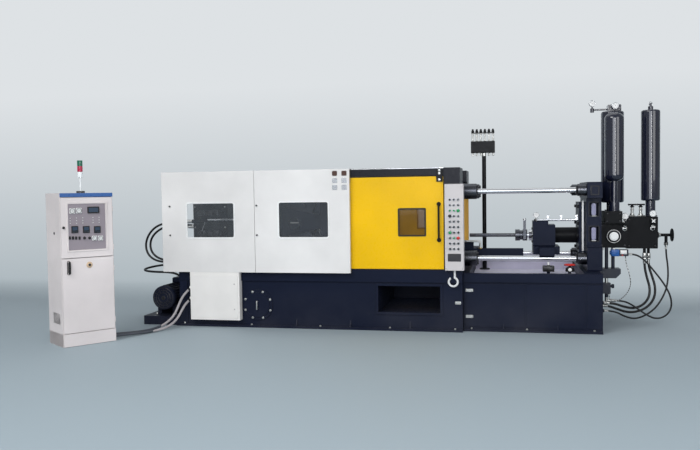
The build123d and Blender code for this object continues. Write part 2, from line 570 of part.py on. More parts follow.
# Crosshead with its piston rod and the rod's nut
PISTON_ROD_TAIL = 430.0
ROD_NUT_REACH = 52.0
CROSSHEAD_NUT_RADIUS = 50.0
CROSSHEAD_END = CROSSHEAD_PIN_Z + CROSSHEAD_HALF_LENGTH
CROSSHEAD_WAIST = 12.0
with BuildPart() as crosshead:
    with BuildSketch(Plane.XZ.offset(-CROSSHEAD_HALF_WIDTH)) as beam:
        with Locations((CROSSHEAD_X, CLAMP_AXIS_Z)):
            Rectangle(2 * (CROSSHEAD_HALF_LENGTH - CROSSHEAD_WAIST), 2 * CROSSHEAD_PIN_Z)
            Circle(CROSSHEAD_NUT_RADIUS + CROSSHEAD_WAIST)
        for sign in (-1, 1):
            with Locations((CROSSHEAD_X, pivot_z(sign, CROSSHEAD_PIN_Z))):
                Circle(CROSSHEAD_HALF_LENGTH)
    extrude(beam.sketch, amount=2 * CROSSHEAD_HALF_WIDTH)
    for sign in (-1, 1):
        bar_y(CROSSHEAD_X, (-CROSS_LINK_INNER_Y - CROSS_LINK_THICKNESS,
                            CROSS_LINK_INNER_Y + CROSS_LINK_THICKNESS),
              pivot_z(sign, CROSSHEAD_PIN_Z), SMALL_PIN_RADIUS)
    bar_x((TAILSTOCK_LEFT - PISTON_ROD_TAIL, CROSSHEAD_X), 0, CLAMP_AXIS_Z, PISTON_ROD_RADIUS)
    turned((CROSSHEAD_X, 0, CLAMP_AXIS_Z), (1, 0, 0),
           [(CROSSHEAD_NUT_RADIUS, CROSSHEAD_HALF_LENGTH + ROD_NUT_REACH)], BROKEN_EDGE)
save(crosshead.part, "crosshead")

# Moving platen, sliding on the tie bars and on two shoes
MOVING_PLATEN_LEFT = PLATEN_PIVOT_X + PLATEN_PIVOT_REACH
MOVING_PLATEN_RIGHT = MOVING_PLATEN_LEFT + MOVING_PLATEN_THICKNESS
SHOE_HEIGHT = 30.0
SHOE_INNER_Y = 250.0
SHOE_WIDTH = 150.0
PLATEN_EAR_SETBACK = 20.0
with BuildPart() as moving_platen:
    platen_plate(MOVING_PLATEN_LEFT, MOVING_PLATEN_THICKNESS, TIE_BAR_RADIUS + SLIDING_CLEARANCE,
                 BASE_TOP + SHOE_HEIGHT)
    for y in both_sides(SHOE_INNER_Y, SHOE_WIDTH):
        block((MOVING_PLATEN_LEFT, MOVING_PLATEN_RIGHT), y, (BASE_TOP + SEAT_GAP, BASE_TOP + SHOE_HEIGHT))
    inner_ear = (REAR_LINK_Y + PLATEN_EAR_SETBACK, FRONT_LINK_Y - SIDE_GAP)
    outer_ear = (OUTER_EAR_Y, OUTER_EAR_Y + EAR_THICKNESS)
    for sign in (-1, 1):
        z = pivot_z(sign, LINK_PIVOT_Z)
        for near, far in (inner_ear, outer_ear):
            for y in both_sides(near, far - near):
                ear(PLATEN_PIVOT_X, MOVING_PLATEN_LEFT, z, TAIL_BOSS_RADIUS, y)
        for y in both_sides(inner_ear[0], outer_ear[1] - inner_ear[0]):
            bar_y(PLATEN_PIVOT_X, y, z, PIN_RADIUS)
save(moving_platen.part, "moving_platen")


# Guards: folded sheet panels with a window, front and rear
def guard_panel(x, window_left, sign):
    """A folded panel, open towards the machine, with a round-cornered window."""
    block(x, side(GUARD_FACE_Y, GUARD_DEPTH, sign), (GUARD_BOTTOM, GUARD_TOP))
    inner_face = GUARD_FACE_Y - GUARD_WALL
    block((x[0] + GUARD_WALL, x[1] - GUARD_WALL), side(inner_face, GUARD_DEPTH, sign),
          (GUARD_BOTTOM + GUARD_WALL, GUARD_TOP - GUARD_WALL), Mode.SUBTRACT)
    with BuildSketch(Plane.XZ.offset(-sign * GUARD_FACE_Y)) as opening:
        with Locations((window_left + WINDOW_WIDTH / 2, (WINDOW_BOTTOM + WINDOW_TOP) / 2)):
            RectangleRounded(WINDOW_WIDTH, WINDOW_TOP - WINDOW_BOTTOM, WINDOW_CORNER)
    extrude(opening.sketch, amount=2 * GUARD_WALL, both=True, mode=Mode.SUBTRACT)


PANE_THICKNESS = 5.0
PANE_LAP = 15.0
guard_spans = {
    "left": ((GUARD_LEFT, GUARD_SEAM - GUARD_GAP / 2), LEFT_WINDOW_X),
    "right": ((GUARD_SEAM + GUARD_GAP / 2, GUARD_RIGHT), RIGHT_WINDOW_X),
}
for place, sign in (("front", -1), ("rear", 1)):
    for name, (x, window_left) in guard_spans.items():
        with BuildPart() as guard:
            guard_panel(x, window_left, sign)
            if name == "right":
                block(x, side(GUARD_FACE_Y, GUARD_FACE_Y - DOOR_FACE_Y + RAIL_DEPTH, sign),
                      (GUARD_TOP - GUARD_WALL, GUARD_TOP))
        save(guard.part, f"{place}_guard_{name}")

with BuildPart() as guard_windows:
    for sign in (-1, 1):
        for window_left in (LEFT_WINDOW_X, RIGHT_WINDOW_X):
            block((window_left - PANE_LAP, window_left + WINDOW_WIDTH + PANE_LAP),
                  side(GUARD_FACE_Y - GUARD_WALL - SEAT_GAP, PANE_THICKNESS, sign),
                  (WINDOW_BOTTOM - PANE_LAP, WINDOW_TOP + PANE_LAP))
save(guard_windows.part, "guard_windows")

# Frame that carries the guards: posts on the base, a channel rail for each
# door's rollers, and the rails' end brackets on the fixed platen
FRAME_INSET = 20.0
TOP_BEAM_HEIGHT = 60.0
BRACKET_DEPTH = 380.0
RAIL_GROOVE_DEPTH = 26.0
RAIL_GROOVE_HEIGHT = 34.0
with BuildPart() as guard_frame:
    for sign in (-1, 1):
        post_y = side(GUARD_FACE_Y - GUARD_DEPTH, POST_SIZE, sign)
        for x in (CLAMP_BASE_LEFT, GUARD_SEAM - POST_SIZE / 2):
            block((x, x + POST_SIZE), post_y, (BASE_TOP, RAIL_TOP))
        block((GUARD_LEFT + FRAME_INSET, GUARD_SEAM), post_y, (RAIL_TOP - TOP_BEAM_HEIGHT, RAIL_TOP))
        block((GUARD_SEAM, BRACKET_LEFT), side(DOOR_FACE_Y, RAIL_DEPTH, sign), (RAIL_BOTTOM, RAIL_TOP))
        groove_z = (RAIL_BOTTOM + RAIL_TOP - RAIL_GROOVE_HEIGHT) / 2
        block((GUARD_SEAM + POST_SIZE, BRACKET_LEFT - 1),
              side(DOOR_FACE_Y - RAIL_DEPTH + RAIL_GROOVE_DEPTH, RAIL_GROOVE_DEPTH + 1, sign),
              (groove_z, groove_z + RAIL_GROOVE_HEIGHT), Mode.SUBTRACT)
        bracket_face = GUARD_FACE_Y - FRAME_INSET
        block((BRACKET_LEFT, BRACKET_RIGHT), side(bracket_face, bracket_face - BRACKET_DEPTH, sign),
              (CLAMP_AXIS_Z + PLATEN_HALF_HEIGHT, BRACKET_TOP))
        block((BRACKET_LEFT, BRACKET_RIGHT),
              side(bracket_face, bracket_face - PLATEN_HALF_WIDTH - 10, sign),
              (BRACKET_BOTTOM, BRACKET_TOP))
save(guard_frame.part, "guard_frame")

# Sliding doors, front and rear
ROLLER_PLATES = ((4.0, 50.0), (943.0, 63.0))
ROLLER_PLATE_DROP = 54.0
ROLLER_PLATE_REACH = 12.0
HANDLE_STANDOFFS = (938.0, 1302.0)
HANDLE_OVERHANG = 16.0
HANDLE_REACH = 26.0
HANDLE_RADIUS = 10.0


def sliding_door(sign):
    """A hollow-backed door with a window, two roller plates and a bar handle."""
    block((DOOR_LEFT, DOOR_RIGHT), side(DOOR_FACE_Y, DOOR_THICKNESS, sign), (DOOR_BOTTOM, DOOR_TOP))
    block((DOOR_LEFT + DOOR_WALL, DOOR_RIGHT - DOOR_WALL),
          side(DOOR_FACE_Y - DOOR_WALL, DOOR_THICKNESS, sign),
          (DOOR_BOTTOM + DOOR_WALL, DOOR_TOP - DOOR_WALL), Mode.SUBTRACT)
    block((DOOR_WINDOW_LEFT, DOOR_WINDOW_LEFT + DOOR_WINDOW_WIDTH),
          side(DOOR_FACE_Y + 1, DOOR_THICKNESS, sign),
          (DOOR_WINDOW_BOTTOM, DOOR_WINDOW_BOTTOM + DOOR_WINDOW_HEIGHT), Mode.SUBTRACT)
    plate_face = DOOR_FACE_Y + ROLLER_PLATE_REACH
    for inset, width in ROLLER_PLATES:
        x = DOOR_LEFT + inset
        block((x, x + width), side(plate_face, ROLLER_PLATE_REACH - SEAT_GAP, sign),
              (DOOR_TOP - ROLLER_PLATE_DROP, RAIL_TOP - ROLLER_PLATE_REACH))
        block((x, x + width), side(plate_face, ROLLER_PLATE_REACH + 1, sign),
              (DOOR_TOP - ROLLER_PLATE_DROP, DOOR_TOP))
    for z in HANDLE_STANDOFFS:
        bar_y(HANDLE_X, side(DOOR_FACE_Y + HANDLE_REACH, HANDLE_REACH + 2, sign), z, HANDLE_RADIUS - 1)
    bar_z(HANDLE_X, sign * (DOOR_FACE_Y + HANDLE_REACH),
          (HANDLE_STANDOFFS[0] - HANDLE_OVERHANG, HANDLE_STANDOFFS[1] + HANDLE_OVERHANG), HANDLE_RADIUS)


for place, sign in (("front", -1), ("rear", 1)):
    with BuildPart() as door:
        sliding_door(sign)
    save(door.part, f"{place}_door")
    with BuildPart() as door_window:
        block((DOOR_WINDOW_LEFT - PANE_LAP, DOOR_WINDOW_LEFT + DOOR_WINDOW_WIDTH + PANE_LAP),
              side(DOOR_FACE_Y - DOOR_WALL - SEAT_GAP, PANE_THICKNESS, sign),
              (DOOR_WINDOW_BOTTOM - PANE_LAP, DOOR_WINDOW_BOTTOM + DOOR_WINDOW_HEIGHT + PANE_LAP))
    save(door_window.part, f"{place}_door_window")

# Control panel under the front bracket, with ten rows of three buttons
BUTTON_COLUMNS = (54.0, 94.0, 136.0)
BUTTON_ROWS = 10
BUTTON_TOP_Z = 1345.0
BUTTON_PITCH = 54.8
BUTTON_RADIUS = 9.0
BUTTON_REACH = 12.0
with BuildPart() as control_panel:
    block((PANEL_LEFT, PANEL_RIGHT), side(GUARD_FACE_Y, PANEL_DEPTH, -1),
          (PANEL_BOTTOM, BRACKET_BOTTOM))
    fillet(control_panel.edges().filter_by(Axis.Z).sort_by(Axis.Y)[:2], 6)
    for row in range(BUTTON_ROWS):
        for column in BUTTON_COLUMNS:
            turned((PANEL_LEFT + column, -GUARD_FACE_Y, BUTTON_TOP_Z - row * BUTTON_PITCH), (0, -1, 0),
                   [(BUTTON_RADIUS + 3, BUTTON_REACH / 3), (BUTTON_RADIUS, BUTTON_REACH * 2 / 3)], 1.0)
save(control_panel.part, "control_panel")

# Plain cover panel under the rear bracket
REAR_COVER_THICKNESS = 60.0
with BuildPart() as rear_end_panel:
    block((PANEL_LEFT, BRACKET_RIGHT - BASE_GAP),
          side(GUARD_FACE_Y - FRAME_INSET, REAR_COVER_THICKNESS, 1), (PANEL_BOTTOM, BRACKET_BOTTOM))
save(rear_end_panel.part, "rear_end_panel")

# Hook on the base's front, hung on a plate
HOOK_X = 775.0
HOOK_WIRE_RADIUS = 11.0
HOOK_RADIUS = 45.0
HOOK_EYE_Z = 514.0
HOOK_MOUTH = (-20.0, 4.0)
HOOK_SHANK_SHIFT = 16.0
with BuildPart() as lifting_hook:
    hook_y = -CLAMP_BEAM_Y - HOOK_WIRE_RADIUS
    with Locations(Location((HOOK_X, hook_y, HOOK_EYE_Z), (90, 0, 0))):
        Torus(HOOK_RADIUS, HOOK_WIRE_RADIUS)
    block((HOOK_X + HOOK_MOUTH[0], HOOK_X + HOOK_MOUTH[1]), (hook_y - HOOK_RADIUS, hook_y + HOOK_RADIUS),
          (HOOK_EYE_Z, HOOK_EYE_Z + 2 * HOOK_RADIUS), Mode.SUBTRACT)
    bar_z(HOOK_X + HOOK_SHANK_SHIFT, hook_y, (HOOK_EYE_Z + HOOK_RADIUS - HOOK_WIRE_RADIUS / 2, SILL_TOP - BROKEN_EDGE),
          HOOK_WIRE_RADIUS)
save(lifting_hook.part, "lifting_hook")

# Injection end: rods, end frame, cylinder, guide block, plunger
with BuildPart() as injection_rods:
    rod_left = FIXED_PLATEN_RIGHT + TIE_BAR_NUT_LENGTH
    for y, z in tie_bar_places:
        turned((rod_left, y, z), (1, 0, 0),
               [(INJECTION_ROD_RADIUS, FRAME_LEFT - rod_left - ROD_NUT_LENGTH),
                (ROD_NUT_RADIUS, ROD_NUT_LENGTH)], BROKEN_EDGE)
save(injection_rods.part, "injection_rods")

WAIST_BOTTOM = 830.0
WAIST_TOP = 1340.0
FRAME_SLOTS = ((900.0, 1042.0), (1156.0, 1290.0))
FRAME_SLOT_INSET = 30.0
FRAME_SLOT_DEPTH = 70.0
FLANGE_PLATE_HALF_WIDTH = 200.0
FLANGE_PLATE_Z = (765.0, 1297.0)
with BuildPart() as injection_frame:
    with BuildSketch(Plane.YZ.offset(FRAME_LEFT)) as frame_outline:
        with Locations((0, (BASE_TOP + FRAME_TOP) / 2)):
            RectangleRounded(2 * FRAME_HALF_WIDTH, FRAME_TOP - BASE_TOP, BROKEN_EDGE * 2)
        for sign in (-1, 1):
            waist_middle = (WAIST_BOTTOM + WAIST_TOP) / 2
            with Locations((sign * FRAME_HALF_WIDTH, waist_middle)):
                Rectangle(2 * (FRAME_HALF_WIDTH - FRAME_WAIST), WAIST_TOP - WAIST_BOTTOM,
                          mode=Mode.SUBTRACT)
    extrude(frame_outline.sketch, amount=FRAME_THICKNESS)
    for sign in (-1, 1):
        for slot_z in FRAME_SLOTS:
            block((FRAME_LEFT + FRAME_SLOT_INSET, FRAME_RIGHT - FRAME_SLOT_INSET),
                  side(FRAME_WAIST + 1, FRAME_SLOT_DEPTH, sign), slot_z, Mode.SUBTRACT)
    block((FRAME_LEFT - FLANGE_PLATE_THICKNESS, FRAME_LEFT),
          (-FLANGE_PLATE_HALF_WIDTH, FLANGE_PLATE_HALF_WIDTH), FLANGE_PLATE_Z)
    bar_x((FRAME_LEFT - FLANGE_PLATE_THICKNESS - 1, FRAME_RIGHT + 1), 0, INJECTION_AXIS_Z,
          CYLINDER_RADIUS, Mode.SUBTRACT)
save(injection_frame.part, "injection_frame")

CYLINDER_END_WALL = 40.0
with BuildPart() as injection_cylinder:
    bar_x((GUIDE_BLOCK_RIGHT, FRAME_RIGHT), 0, INJECTION_AXIS_Z, CYLINDER_RADIUS)
    bar_x((GUIDE_BLOCK_RIGHT - 1, FRAME_RIGHT - CYLINDER_END_WALL), 0, INJECTION_AXIS_Z,
          INJECTION_PISTON_RADIUS + SEAT_GAP, Mode.SUBTRACT)
save(injection_cylinder.part, "injection_cylinder")

GUIDE_BLOCK_HALF_WIDTH = 150.0
GUIDE_BLOCK_HEAD_LENGTH = 160.0
GUIDE_BLOCK_SHOULDER_Z = 1055.0
GUIDE_FOOT_TOP = 826.0
GUIDE_FOOT_LENGTH = 275.0
GUIDE_FOOT_HALF_WIDTH = 200.0
SADDLE_INSET = 60.0
SADDLE_LENGTH = 150.0
SADDLE_HALF_WIDTH = 400.0
SCALE_Y = -120.0
SCALE_Z = 1108.0
SCALE_RADIUS = 12.0
SCALE_INSET = 40.0
GUIDE_BLOCK_TOP = SCALE_Z - SCALE_RADIUS - SEAT_GAP
saddle_seat = CLAMP_AXIS_Z - TIE_BAR_Z + INJECTION_ROD_RADIUS
with BuildPart() as guide_block:
    with BuildSketch(Plane.XZ.offset(-GUIDE_BLOCK_HALF_WIDTH)) as silhouette:
        with BuildLine():
            Polyline((GUIDE_BLOCK_LEFT, GUIDE_FOOT_TOP), (GUIDE_BLOCK_RIGHT, GUIDE_FOOT_TOP),
                     (GUIDE_BLOCK_RIGHT, GUIDE_BLOCK_SHOULDER_Z),
                     (GUIDE_BLOCK_LEFT + GUIDE_BLOCK_HEAD_LENGTH, GUIDE_BLOCK_SHOULDER_Z),
                     (GUIDE_BLOCK_LEFT + GUIDE_BLOCK_HEAD_LENGTH, GUIDE_BLOCK_TOP),
                     (GUIDE_BLOCK_LEFT, GUIDE_BLOCK_TOP), close=True)
        make_face()
    extrude(silhouette.sketch, amount=2 * GUIDE_BLOCK_HALF_WIDTH)
    chamfer(guide_block.edges().filter_by(Axis.X), BROKEN_EDGE * 2)
    block((GUIDE_BLOCK_LEFT + SADDLE_INSET, GUIDE_BLOCK_LEFT + SADDLE_INSET + SADDLE_LENGTH),
          (-SADDLE_HALF_WIDTH, SADDLE_HALF_WIDTH), (saddle_seat, GUIDE_FOOT_TOP))
    block((GUIDE_BLOCK_LEFT, GUIDE_BLOCK_LEFT + GUIDE_FOOT_LENGTH),
          (-GUIDE_FOOT_HALF_WIDTH, GUIDE_FOOT_HALF_WIDTH), (saddle_seat, GUIDE_FOOT_TOP))
    bar_x((GUIDE_BLOCK_LEFT - 1, GUIDE_BLOCK_RIGHT + 1), 0, INJECTION_AXIS_Z,
          INJECTION_PISTON_RADIUS + SEAT_GAP, Mode.SUBTRACT)
save(guide_block.part, "guide_block")

PLUNGER_LEFT = 900.0
PISTON_LENGTH = 477.0
COUPLING_GROOVE = 30.0
COUPLING_GROOVE_DEPTH = 10.0
PISTON_COLLAR_INSET = 40.0
PISTON_COLLAR_LENGTH = 32.0
POINTER_INSET = 43.0
POINTER_THICKNESS = 28.0
POINTER_Y = (-110.0, -60.0)
POINTER_BOTTOM = 900.0
POINTER_TOP = 1104.0
POINTER_ARM_TOP = 980.0
POINTER_KNOB_RADIUS = 17.0
with BuildPart() as plunger_rod:
    half_coupling = (COUPLING_LENGTH - COUPLING_GROOVE) / 2
    turned((PLUNGER_LEFT, 0, INJECTION_AXIS_Z), (1, 0, 0),
           [(PLUNGER_RADIUS, COUPLING_LEFT - PLUNGER_LEFT), (COUPLING_RADIUS, half_coupling),
            (COUPLING_RADIUS - COUPLING_GROOVE_DEPTH, COUPLING_GROOVE), (COUPLING_RADIUS, half_coupling),
            (INJECTION_PISTON_RADIUS, PISTON_LENGTH)])
    bar_x((GUIDE_BLOCK_LEFT - PISTON_COLLAR_INSET, GUIDE_BLOCK_LEFT - PISTON_COLLAR_INSET
           + PISTON_COLLAR_LENGTH), 0, INJECTION_AXIS_Z, COUPLING_RADIUS - 2)
    pointer_x = (COUPLING_RIGHT - POINTER_INSET, COUPLING_RIGHT - POINTER_INSET + POINTER_THICKNESS)
    block(pointer_x, POINTER_Y, (POINTER_BOTTOM, POINTER_TOP))
    block(pointer_x, (POINTER_Y[0], 0), (POINTER_BOTTOM, POINTER_ARM_TOP))
    with Locations((sum(pointer_x) / 2, sum(POINTER_Y) / 2, POINTER_TOP + POINTER_KNOB_RADIUS / 2)):
        Sphere(POINTER_KNOB_RADIUS)
save(plunger_rod.part, "plunger_rod")

# Stroke scale: a rod from the guide block to the flange plate, with three
# travel switches standing on it
SWITCH_PLACES = (1737.0, 1872.0, 2034.0)
SWITCH_HALF_WIDTH = 12.0
SWITCH_HEIGHT = 52.0
with BuildPart() as stroke_scale:
    bar_x((GUIDE_BLOCK_LEFT + SCALE_INSET, FRAME_LEFT - FLANGE_PLATE_THICKNESS),
          SCALE_Y, SCALE_Z, SCALE_RADIUS)
    for x in SWITCH_PLACES:
        block((x - SWITCH_HALF_WIDTH, x + SWITCH_HALF_WIDTH),
              (SCALE_Y - SWITCH_HALF_WIDTH, SCALE_Y + SWITCH_HALF_WIDTH),
              (SCALE_Z, SCALE_Z + SWITCH_HEIGHT))
save(stroke_scale.part, "stroke_scale")

# Lubricant distributor: six feed tubes with knobs on a header, on its pole
POLE_X = 1044.0
POLE_INSET = 80.0
POLE_RADIUS = 24.0
HEADER_LEFT = 893.0
HEADER_WIDTH = 278.0
HEADER_HALF_DEPTH = 40.0
HEADER_BOTTOM = 1878.0
HEADER_TOP = 2014.0
FEED_COUNT = 6
FEED_PITCH = 47.0
FEED_RADIUS = 12.0
FEED_TUBE_LENGTH = 96.0
FEED_KNOB_RADIUS = 17.0
FEED_KNOB_LENGTH = 32.0
FEED_STUB_LENGTH = 34.0
POLE_Y = TRAY_HALF_WIDTH - POLE_INSET
with BuildPart() as distributor:
    turned((POLE_X, POLE_Y, BASE_TOP - TRAY_DEPTH), (0, 0, 1),
           [(POLE_RADIUS * 2.5, 16), (POLE_RADIUS, HEADER_BOTTOM - BASE_TOP + TRAY_DEPTH - 16)])
    block((HEADER_LEFT, HEADER_LEFT + HEADER_WIDTH), (POLE_Y - HEADER_HALF_DEPTH, POLE_Y + HEADER_HALF_DEPTH),
          (HEADER_BOTTOM, HEADER_TOP))
    feed_inset = (HEADER_WIDTH - (FEED_COUNT - 1) * FEED_PITCH) / 2
    for i in range(FEED_COUNT):
        x = HEADER_LEFT + feed_inset + i * FEED_PITCH
        turned((x, POLE_Y, HEADER_TOP), (0, 0, 1),
               [(FEED_RADIUS, FEED_TUBE_LENGTH), (FEED_KNOB_RADIUS, FEED_KNOB_LENGTH)])
        turned((x, POLE_Y, HEADER_BOTTOM), (0, 0, -1), [(FEED_RADIUS, FEED_STUB_LENGTH)])
save(distributor.part, "lubricant_distributor")

# Accumulators and valve blocks at the injection end
MANIFOLD_HALF_WIDTH = 150.0
MANIFOLD_BOTTOM = 812.0
MANIFOLD_TOP = 1073.0
UPPER_BLOCK_X = (2308.0, 2478.0)
UPPER_BLOCK_Y = (-245.0, 110.0)
UPPER_BLOCK_TOP = 1198.0
CARTRIDGE_X = 2403.0
CARTRIDGE_Z = 934.0
CARTRIDGE_RADIUS = 72.0
GAUGE_RADIUS = 34.0
GAUGE_DEPTH = 28.0
GAUGE_STEM_RADIUS = 12.0
GAUGE_STEM_OUT = 26.0
CROSS_ARM_LENGTH = 26.0
CROSS_ARM_WIDTH = 9.0
GAUGE_VALVE_FOOT_Z = 1012.0


def gauge(x, face_y, z, stem):
    """A round gauge on a short stem that stands out of a block's front face."""
    turned((x, face_y, z), (0, -1, 0), [(8, stem), (GAUGE_RADIUS, GAUGE_DEPTH)])


def gauge_valve(x, face_y, handle_z, gauge_z):
    """A stop valve before a block's face: its foot, a cross handle, and a gauge above."""
    stem_y = face_y - GAUGE_STEM_OUT
    turned((x, face_y, GAUGE_VALVE_FOOT_Z), (0, -1, 0), [(20, 16), (15, GAUGE_STEM_OUT)])
    bar_z(x, stem_y, (GAUGE_VALVE_FOOT_Z, gauge_z), GAUGE_STEM_RADIUS)
    turned((x, stem_y, handle_z), (0, -1, 0), [(17, 26), (10, 22)])
    for half_x, half_z in ((CROSS_ARM_LENGTH, CROSS_ARM_WIDTH), (CROSS_ARM_WIDTH, CROSS_ARM_LENGTH)):
        block((x - half_x, x + half_x), (stem_y - 44, stem_y - 34), (handle_z - half_z, handle_z + half_z))
    turned((x, stem_y + GAUGE_DEPTH / 2, gauge_z), (0, -1, 0), [(GAUGE_RADIUS, GAUGE_DEPTH)])


with BuildPart() as valve_block:
    block((FRAME_RIGHT, BLOCK_RIGHT), (-MANIFOLD_HALF_WIDTH, MANIFOLD_HALF_WIDTH),
          (MANIFOLD_BOTTOM, MANIFOLD_TOP))
    chamfer(valve_block.edges().filter_by(Axis.Y).sort_by(Axis.X)[-2:], BROKEN_EDGE)
    block(UPPER_BLOCK_X, UPPER_BLOCK_Y, (MANIFOLD_TOP, UPPER_BLOCK_TOP))
    turned((CARTRIDGE_X, -MANIFOLD_HALF_WIDTH, CARTRIDGE_Z), (0, -1, 0),
           [(CARTRIDGE_RADIUS, 26), (CARTRIDGE_RADIUS - 24, 14)])
    gauge_valve(BLOCK_RIGHT - 25, -MANIFOLD_HALF_WIDTH, 1070, 1145)
save(valve_block.part, "injection_valve_block")

ACCUMULATOR_BLOCK_RIGHT = 2852.0
ACCUMULATOR_BLOCK_Y = (-100.0, 120.0)
ACCUMULATOR_BLOCK_Z = (800.0, 1135.0)
SPINDLE_Z = 937.0
SPINDLE_END = 2985.0
SPINDLE_RADIUS = 16.0
ELBOW_X = 2950.0
ELBOW_BOTTOM = 830.0
PORT_RADIUS = 20.0
PORT_PLACES = ((2725.0, -60.0, 700.0), (2785.0, 60.0, 690.0))
T_VALVE_PLACES = (2602.0, 2687.0)
T_VALVE_TOP = 1262.0
with BuildPart() as accumulator_block:
    block((BLOCK_RIGHT, ACCUMULATOR_BLOCK_RIGHT), ACCUMULATOR_BLOCK_Y, ACCUMULATOR_BLOCK_Z)
    chamfer(accumulator_block.edges().filter_by(Axis.Y).sort_by(Axis.X)[-2:], BROKEN_EDGE)
    bar_x((ACCUMULATOR_BLOCK_RIGHT, SPINDLE_END), 0, SPINDLE_Z, SPINDLE_RADIUS)
    turned((ACCUMULATOR_BLOCK_RIGHT, 0, SPINDLE_Z), (1, 0, 0), [(34, 22)])
    bar_z(ELBOW_X, 0, (ELBOW_BOTTOM, SPINDLE_Z), SPINDLE_RADIUS)
    turned((ELBOW_X, 0, ELBOW_BOTTOM), (0, 0, 1), [(SPINDLE_RADIUS + 5, 30)])
    for x, y, bottom in PORT_PLACES:
        turned((x, y, bottom), (0, 0, 1),
               [(PORT_RADIUS, 40), (PORT_RADIUS - 5, ACCUMULATOR_BLOCK_Z[0] - bottom - 40)])
    for x in T_VALVE_PLACES:
        turned((x, ACCUMULATOR_BLOCK_Y[0] + 45, ACCUMULATOR_BLOCK_Z[1]), (0, 0, 1),
               [(22, 34), (14, T_VALVE_TOP - ACCUMULATOR_BLOCK_Z[1] - 34)])
        bar_x((x - 30, x + 30), ACCUMULATOR_BLOCK_Y[0] + 45, T_VALVE_TOP, 8)
    gauge_valve(2795, ACCUMULATOR_BLOCK_Y[0], 1095, 1168)
save(accumulator_block.part, "accumulator_valve_block")

LARGE_ACCUMULATOR_PLACE = (2418.0, 60.0)
LARGE_ACCUMULATOR_RADIUS = 117.5
LARGE_ACCUMULATOR_BOTTOM = 1284.0
LARGE_ACCUMULATOR_TOP = 2258.0
HEAD_BLOCK_X = (2366.0, 2500.0)
HEAD_BLOCK_TOP = 2326.0
DOME = 40.0
with BuildPart() as large_accumulator:
    bottle(*LARGE_ACCUMULATOR_PLACE, (LARGE_ACCUMULATOR_BOTTOM, LARGE_ACCUMULATOR_TOP),
           LARGE_ACCUMULATOR_RADIUS, DOME / 2)
    bar_z(*LARGE_ACCUMULATOR_PLACE, (UPPER_BLOCK_TOP, LARGE_ACCUMULATOR_BOTTOM + DOME), 60)
    head_y = LARGE_ACCUMULATOR_PLACE[1]
    block(HEAD_BLOCK_X, (head_y - 60, head_y + 60), (LARGE_ACCUMULATOR_TOP - 1, HEAD_BLOCK_TOP))
    gauge((HEAD_BLOCK_X[0] + HEAD_BLOCK_X[1]) / 2, head_y - 60, HEAD_BLOCK_TOP - 16, 20)
    bar_x((2210, HEAD_BLOCK_X[0]), head_y, LARGE_ACCUMULATOR_TOP + 24, 9)
    turned((2210, head_y, LARGE_ACCUMULATOR_TOP - 4), (0, 0, 1), [(20, 44), (8, 22)])
    turned((2210, head_y + 14, LARGE_ACCUMULATOR_TOP + 92), (0, -1, 0), [(GAUGE_RADIUS, GAUGE_DEPTH)])
save(large_accumulator.part, "large_accumulator")

GAS_BOTTLE_PLACE = (2406.0, -170.0)
GAS_BOTTLE_RADIUS = 97.0
GAS_BOTTLE_BOTTOM = 1512.0
GAS_BOTTLE_TOP = 2221.0
with BuildPart() as gas_bottle:
    bottle(*GAS_BOTTLE_PLACE, (GAS_BOTTLE_BOTTOM, GAS_BOTTLE_TOP), GAS_BOTTLE_RADIUS, DOME * 1.6)
    turned((*GAS_BOTTLE_PLACE, UPPER_BLOCK_TOP), (0, 0, 1),
           [(54, 100), (32, GAS_BOTTLE_BOTTOM - UPPER_BLOCK_TOP - 100 + DOME)])
save(gas_bottle.part, "gas_bottle")

SMALL_ACCUMULATOR_PLACE = (2793.0, 0.0)
SMALL_ACCUMULATOR_RADIUS = 95.0
SMALL_ACCUMULATOR_BOTTOM = 1301.0
SMALL_ACCUMULATOR_TOP = 2254.0
with BuildPart() as small_accumulator:
    bottle(*SMALL_ACCUMULATOR_PLACE, (SMALL_ACCUMULATOR_BOTTOM, SMALL_ACCUMULATOR_TOP),
           SMALL_ACCUMULATOR_RADIUS, DOME / 2)
    bar_z(*SMALL_ACCUMULATOR_PLACE, (ACCUMULATOR_BLOCK_Z[1], SMALL_ACCUMULATOR_BOTTOM + DOME), 50)
    turned((*SMALL_ACCUMULATOR_PLACE, SMALL_ACCUMULATOR_TOP - 1), (0, 0, 1), [(26, 40), (12, 34)])
save(small_accumulator.part, "small_accumulator")

HANDWHEEL_GAP = 0.3
HANDWHEEL_HUB_LENGTH = 39.0
HANDWHEEL_RADIUS = 60.0
HANDWHEEL_RIM_RADIUS = 9.0
with BuildPart() as speed_handwheel:
    wheel_x = SPINDLE_END + HANDWHEEL_GAP + HANDWHEEL_HUB_LENGTH * 0.6
    with Locations(Location((wheel_x, 0, SPINDLE_Z), (0, 90, 0))):
        Torus(HANDWHEEL_RADIUS, HANDWHEEL_RIM_RADIUS)
    turned((SPINDLE_END + HANDWHEEL_GAP, 0, SPINDLE_Z), (1, 0, 0), [(16, HANDWHEEL_HUB_LENGTH)])
    for turn in (0, 120, 240):
        spoke = Vector(0, cos(radians(turn)), sin(radians(turn)))
        with Locations(Location((wheel_x, spoke.Y * HANDWHEEL_RADIUS / 2,
                                 SPINDLE_Z + spoke.Z * HANDWHEEL_RADIUS / 2), (turn, 0, 0))):
            Box(10, HANDWHEEL_RADIUS, 12)
save(speed_handwheel.part, "speed_handwheel")

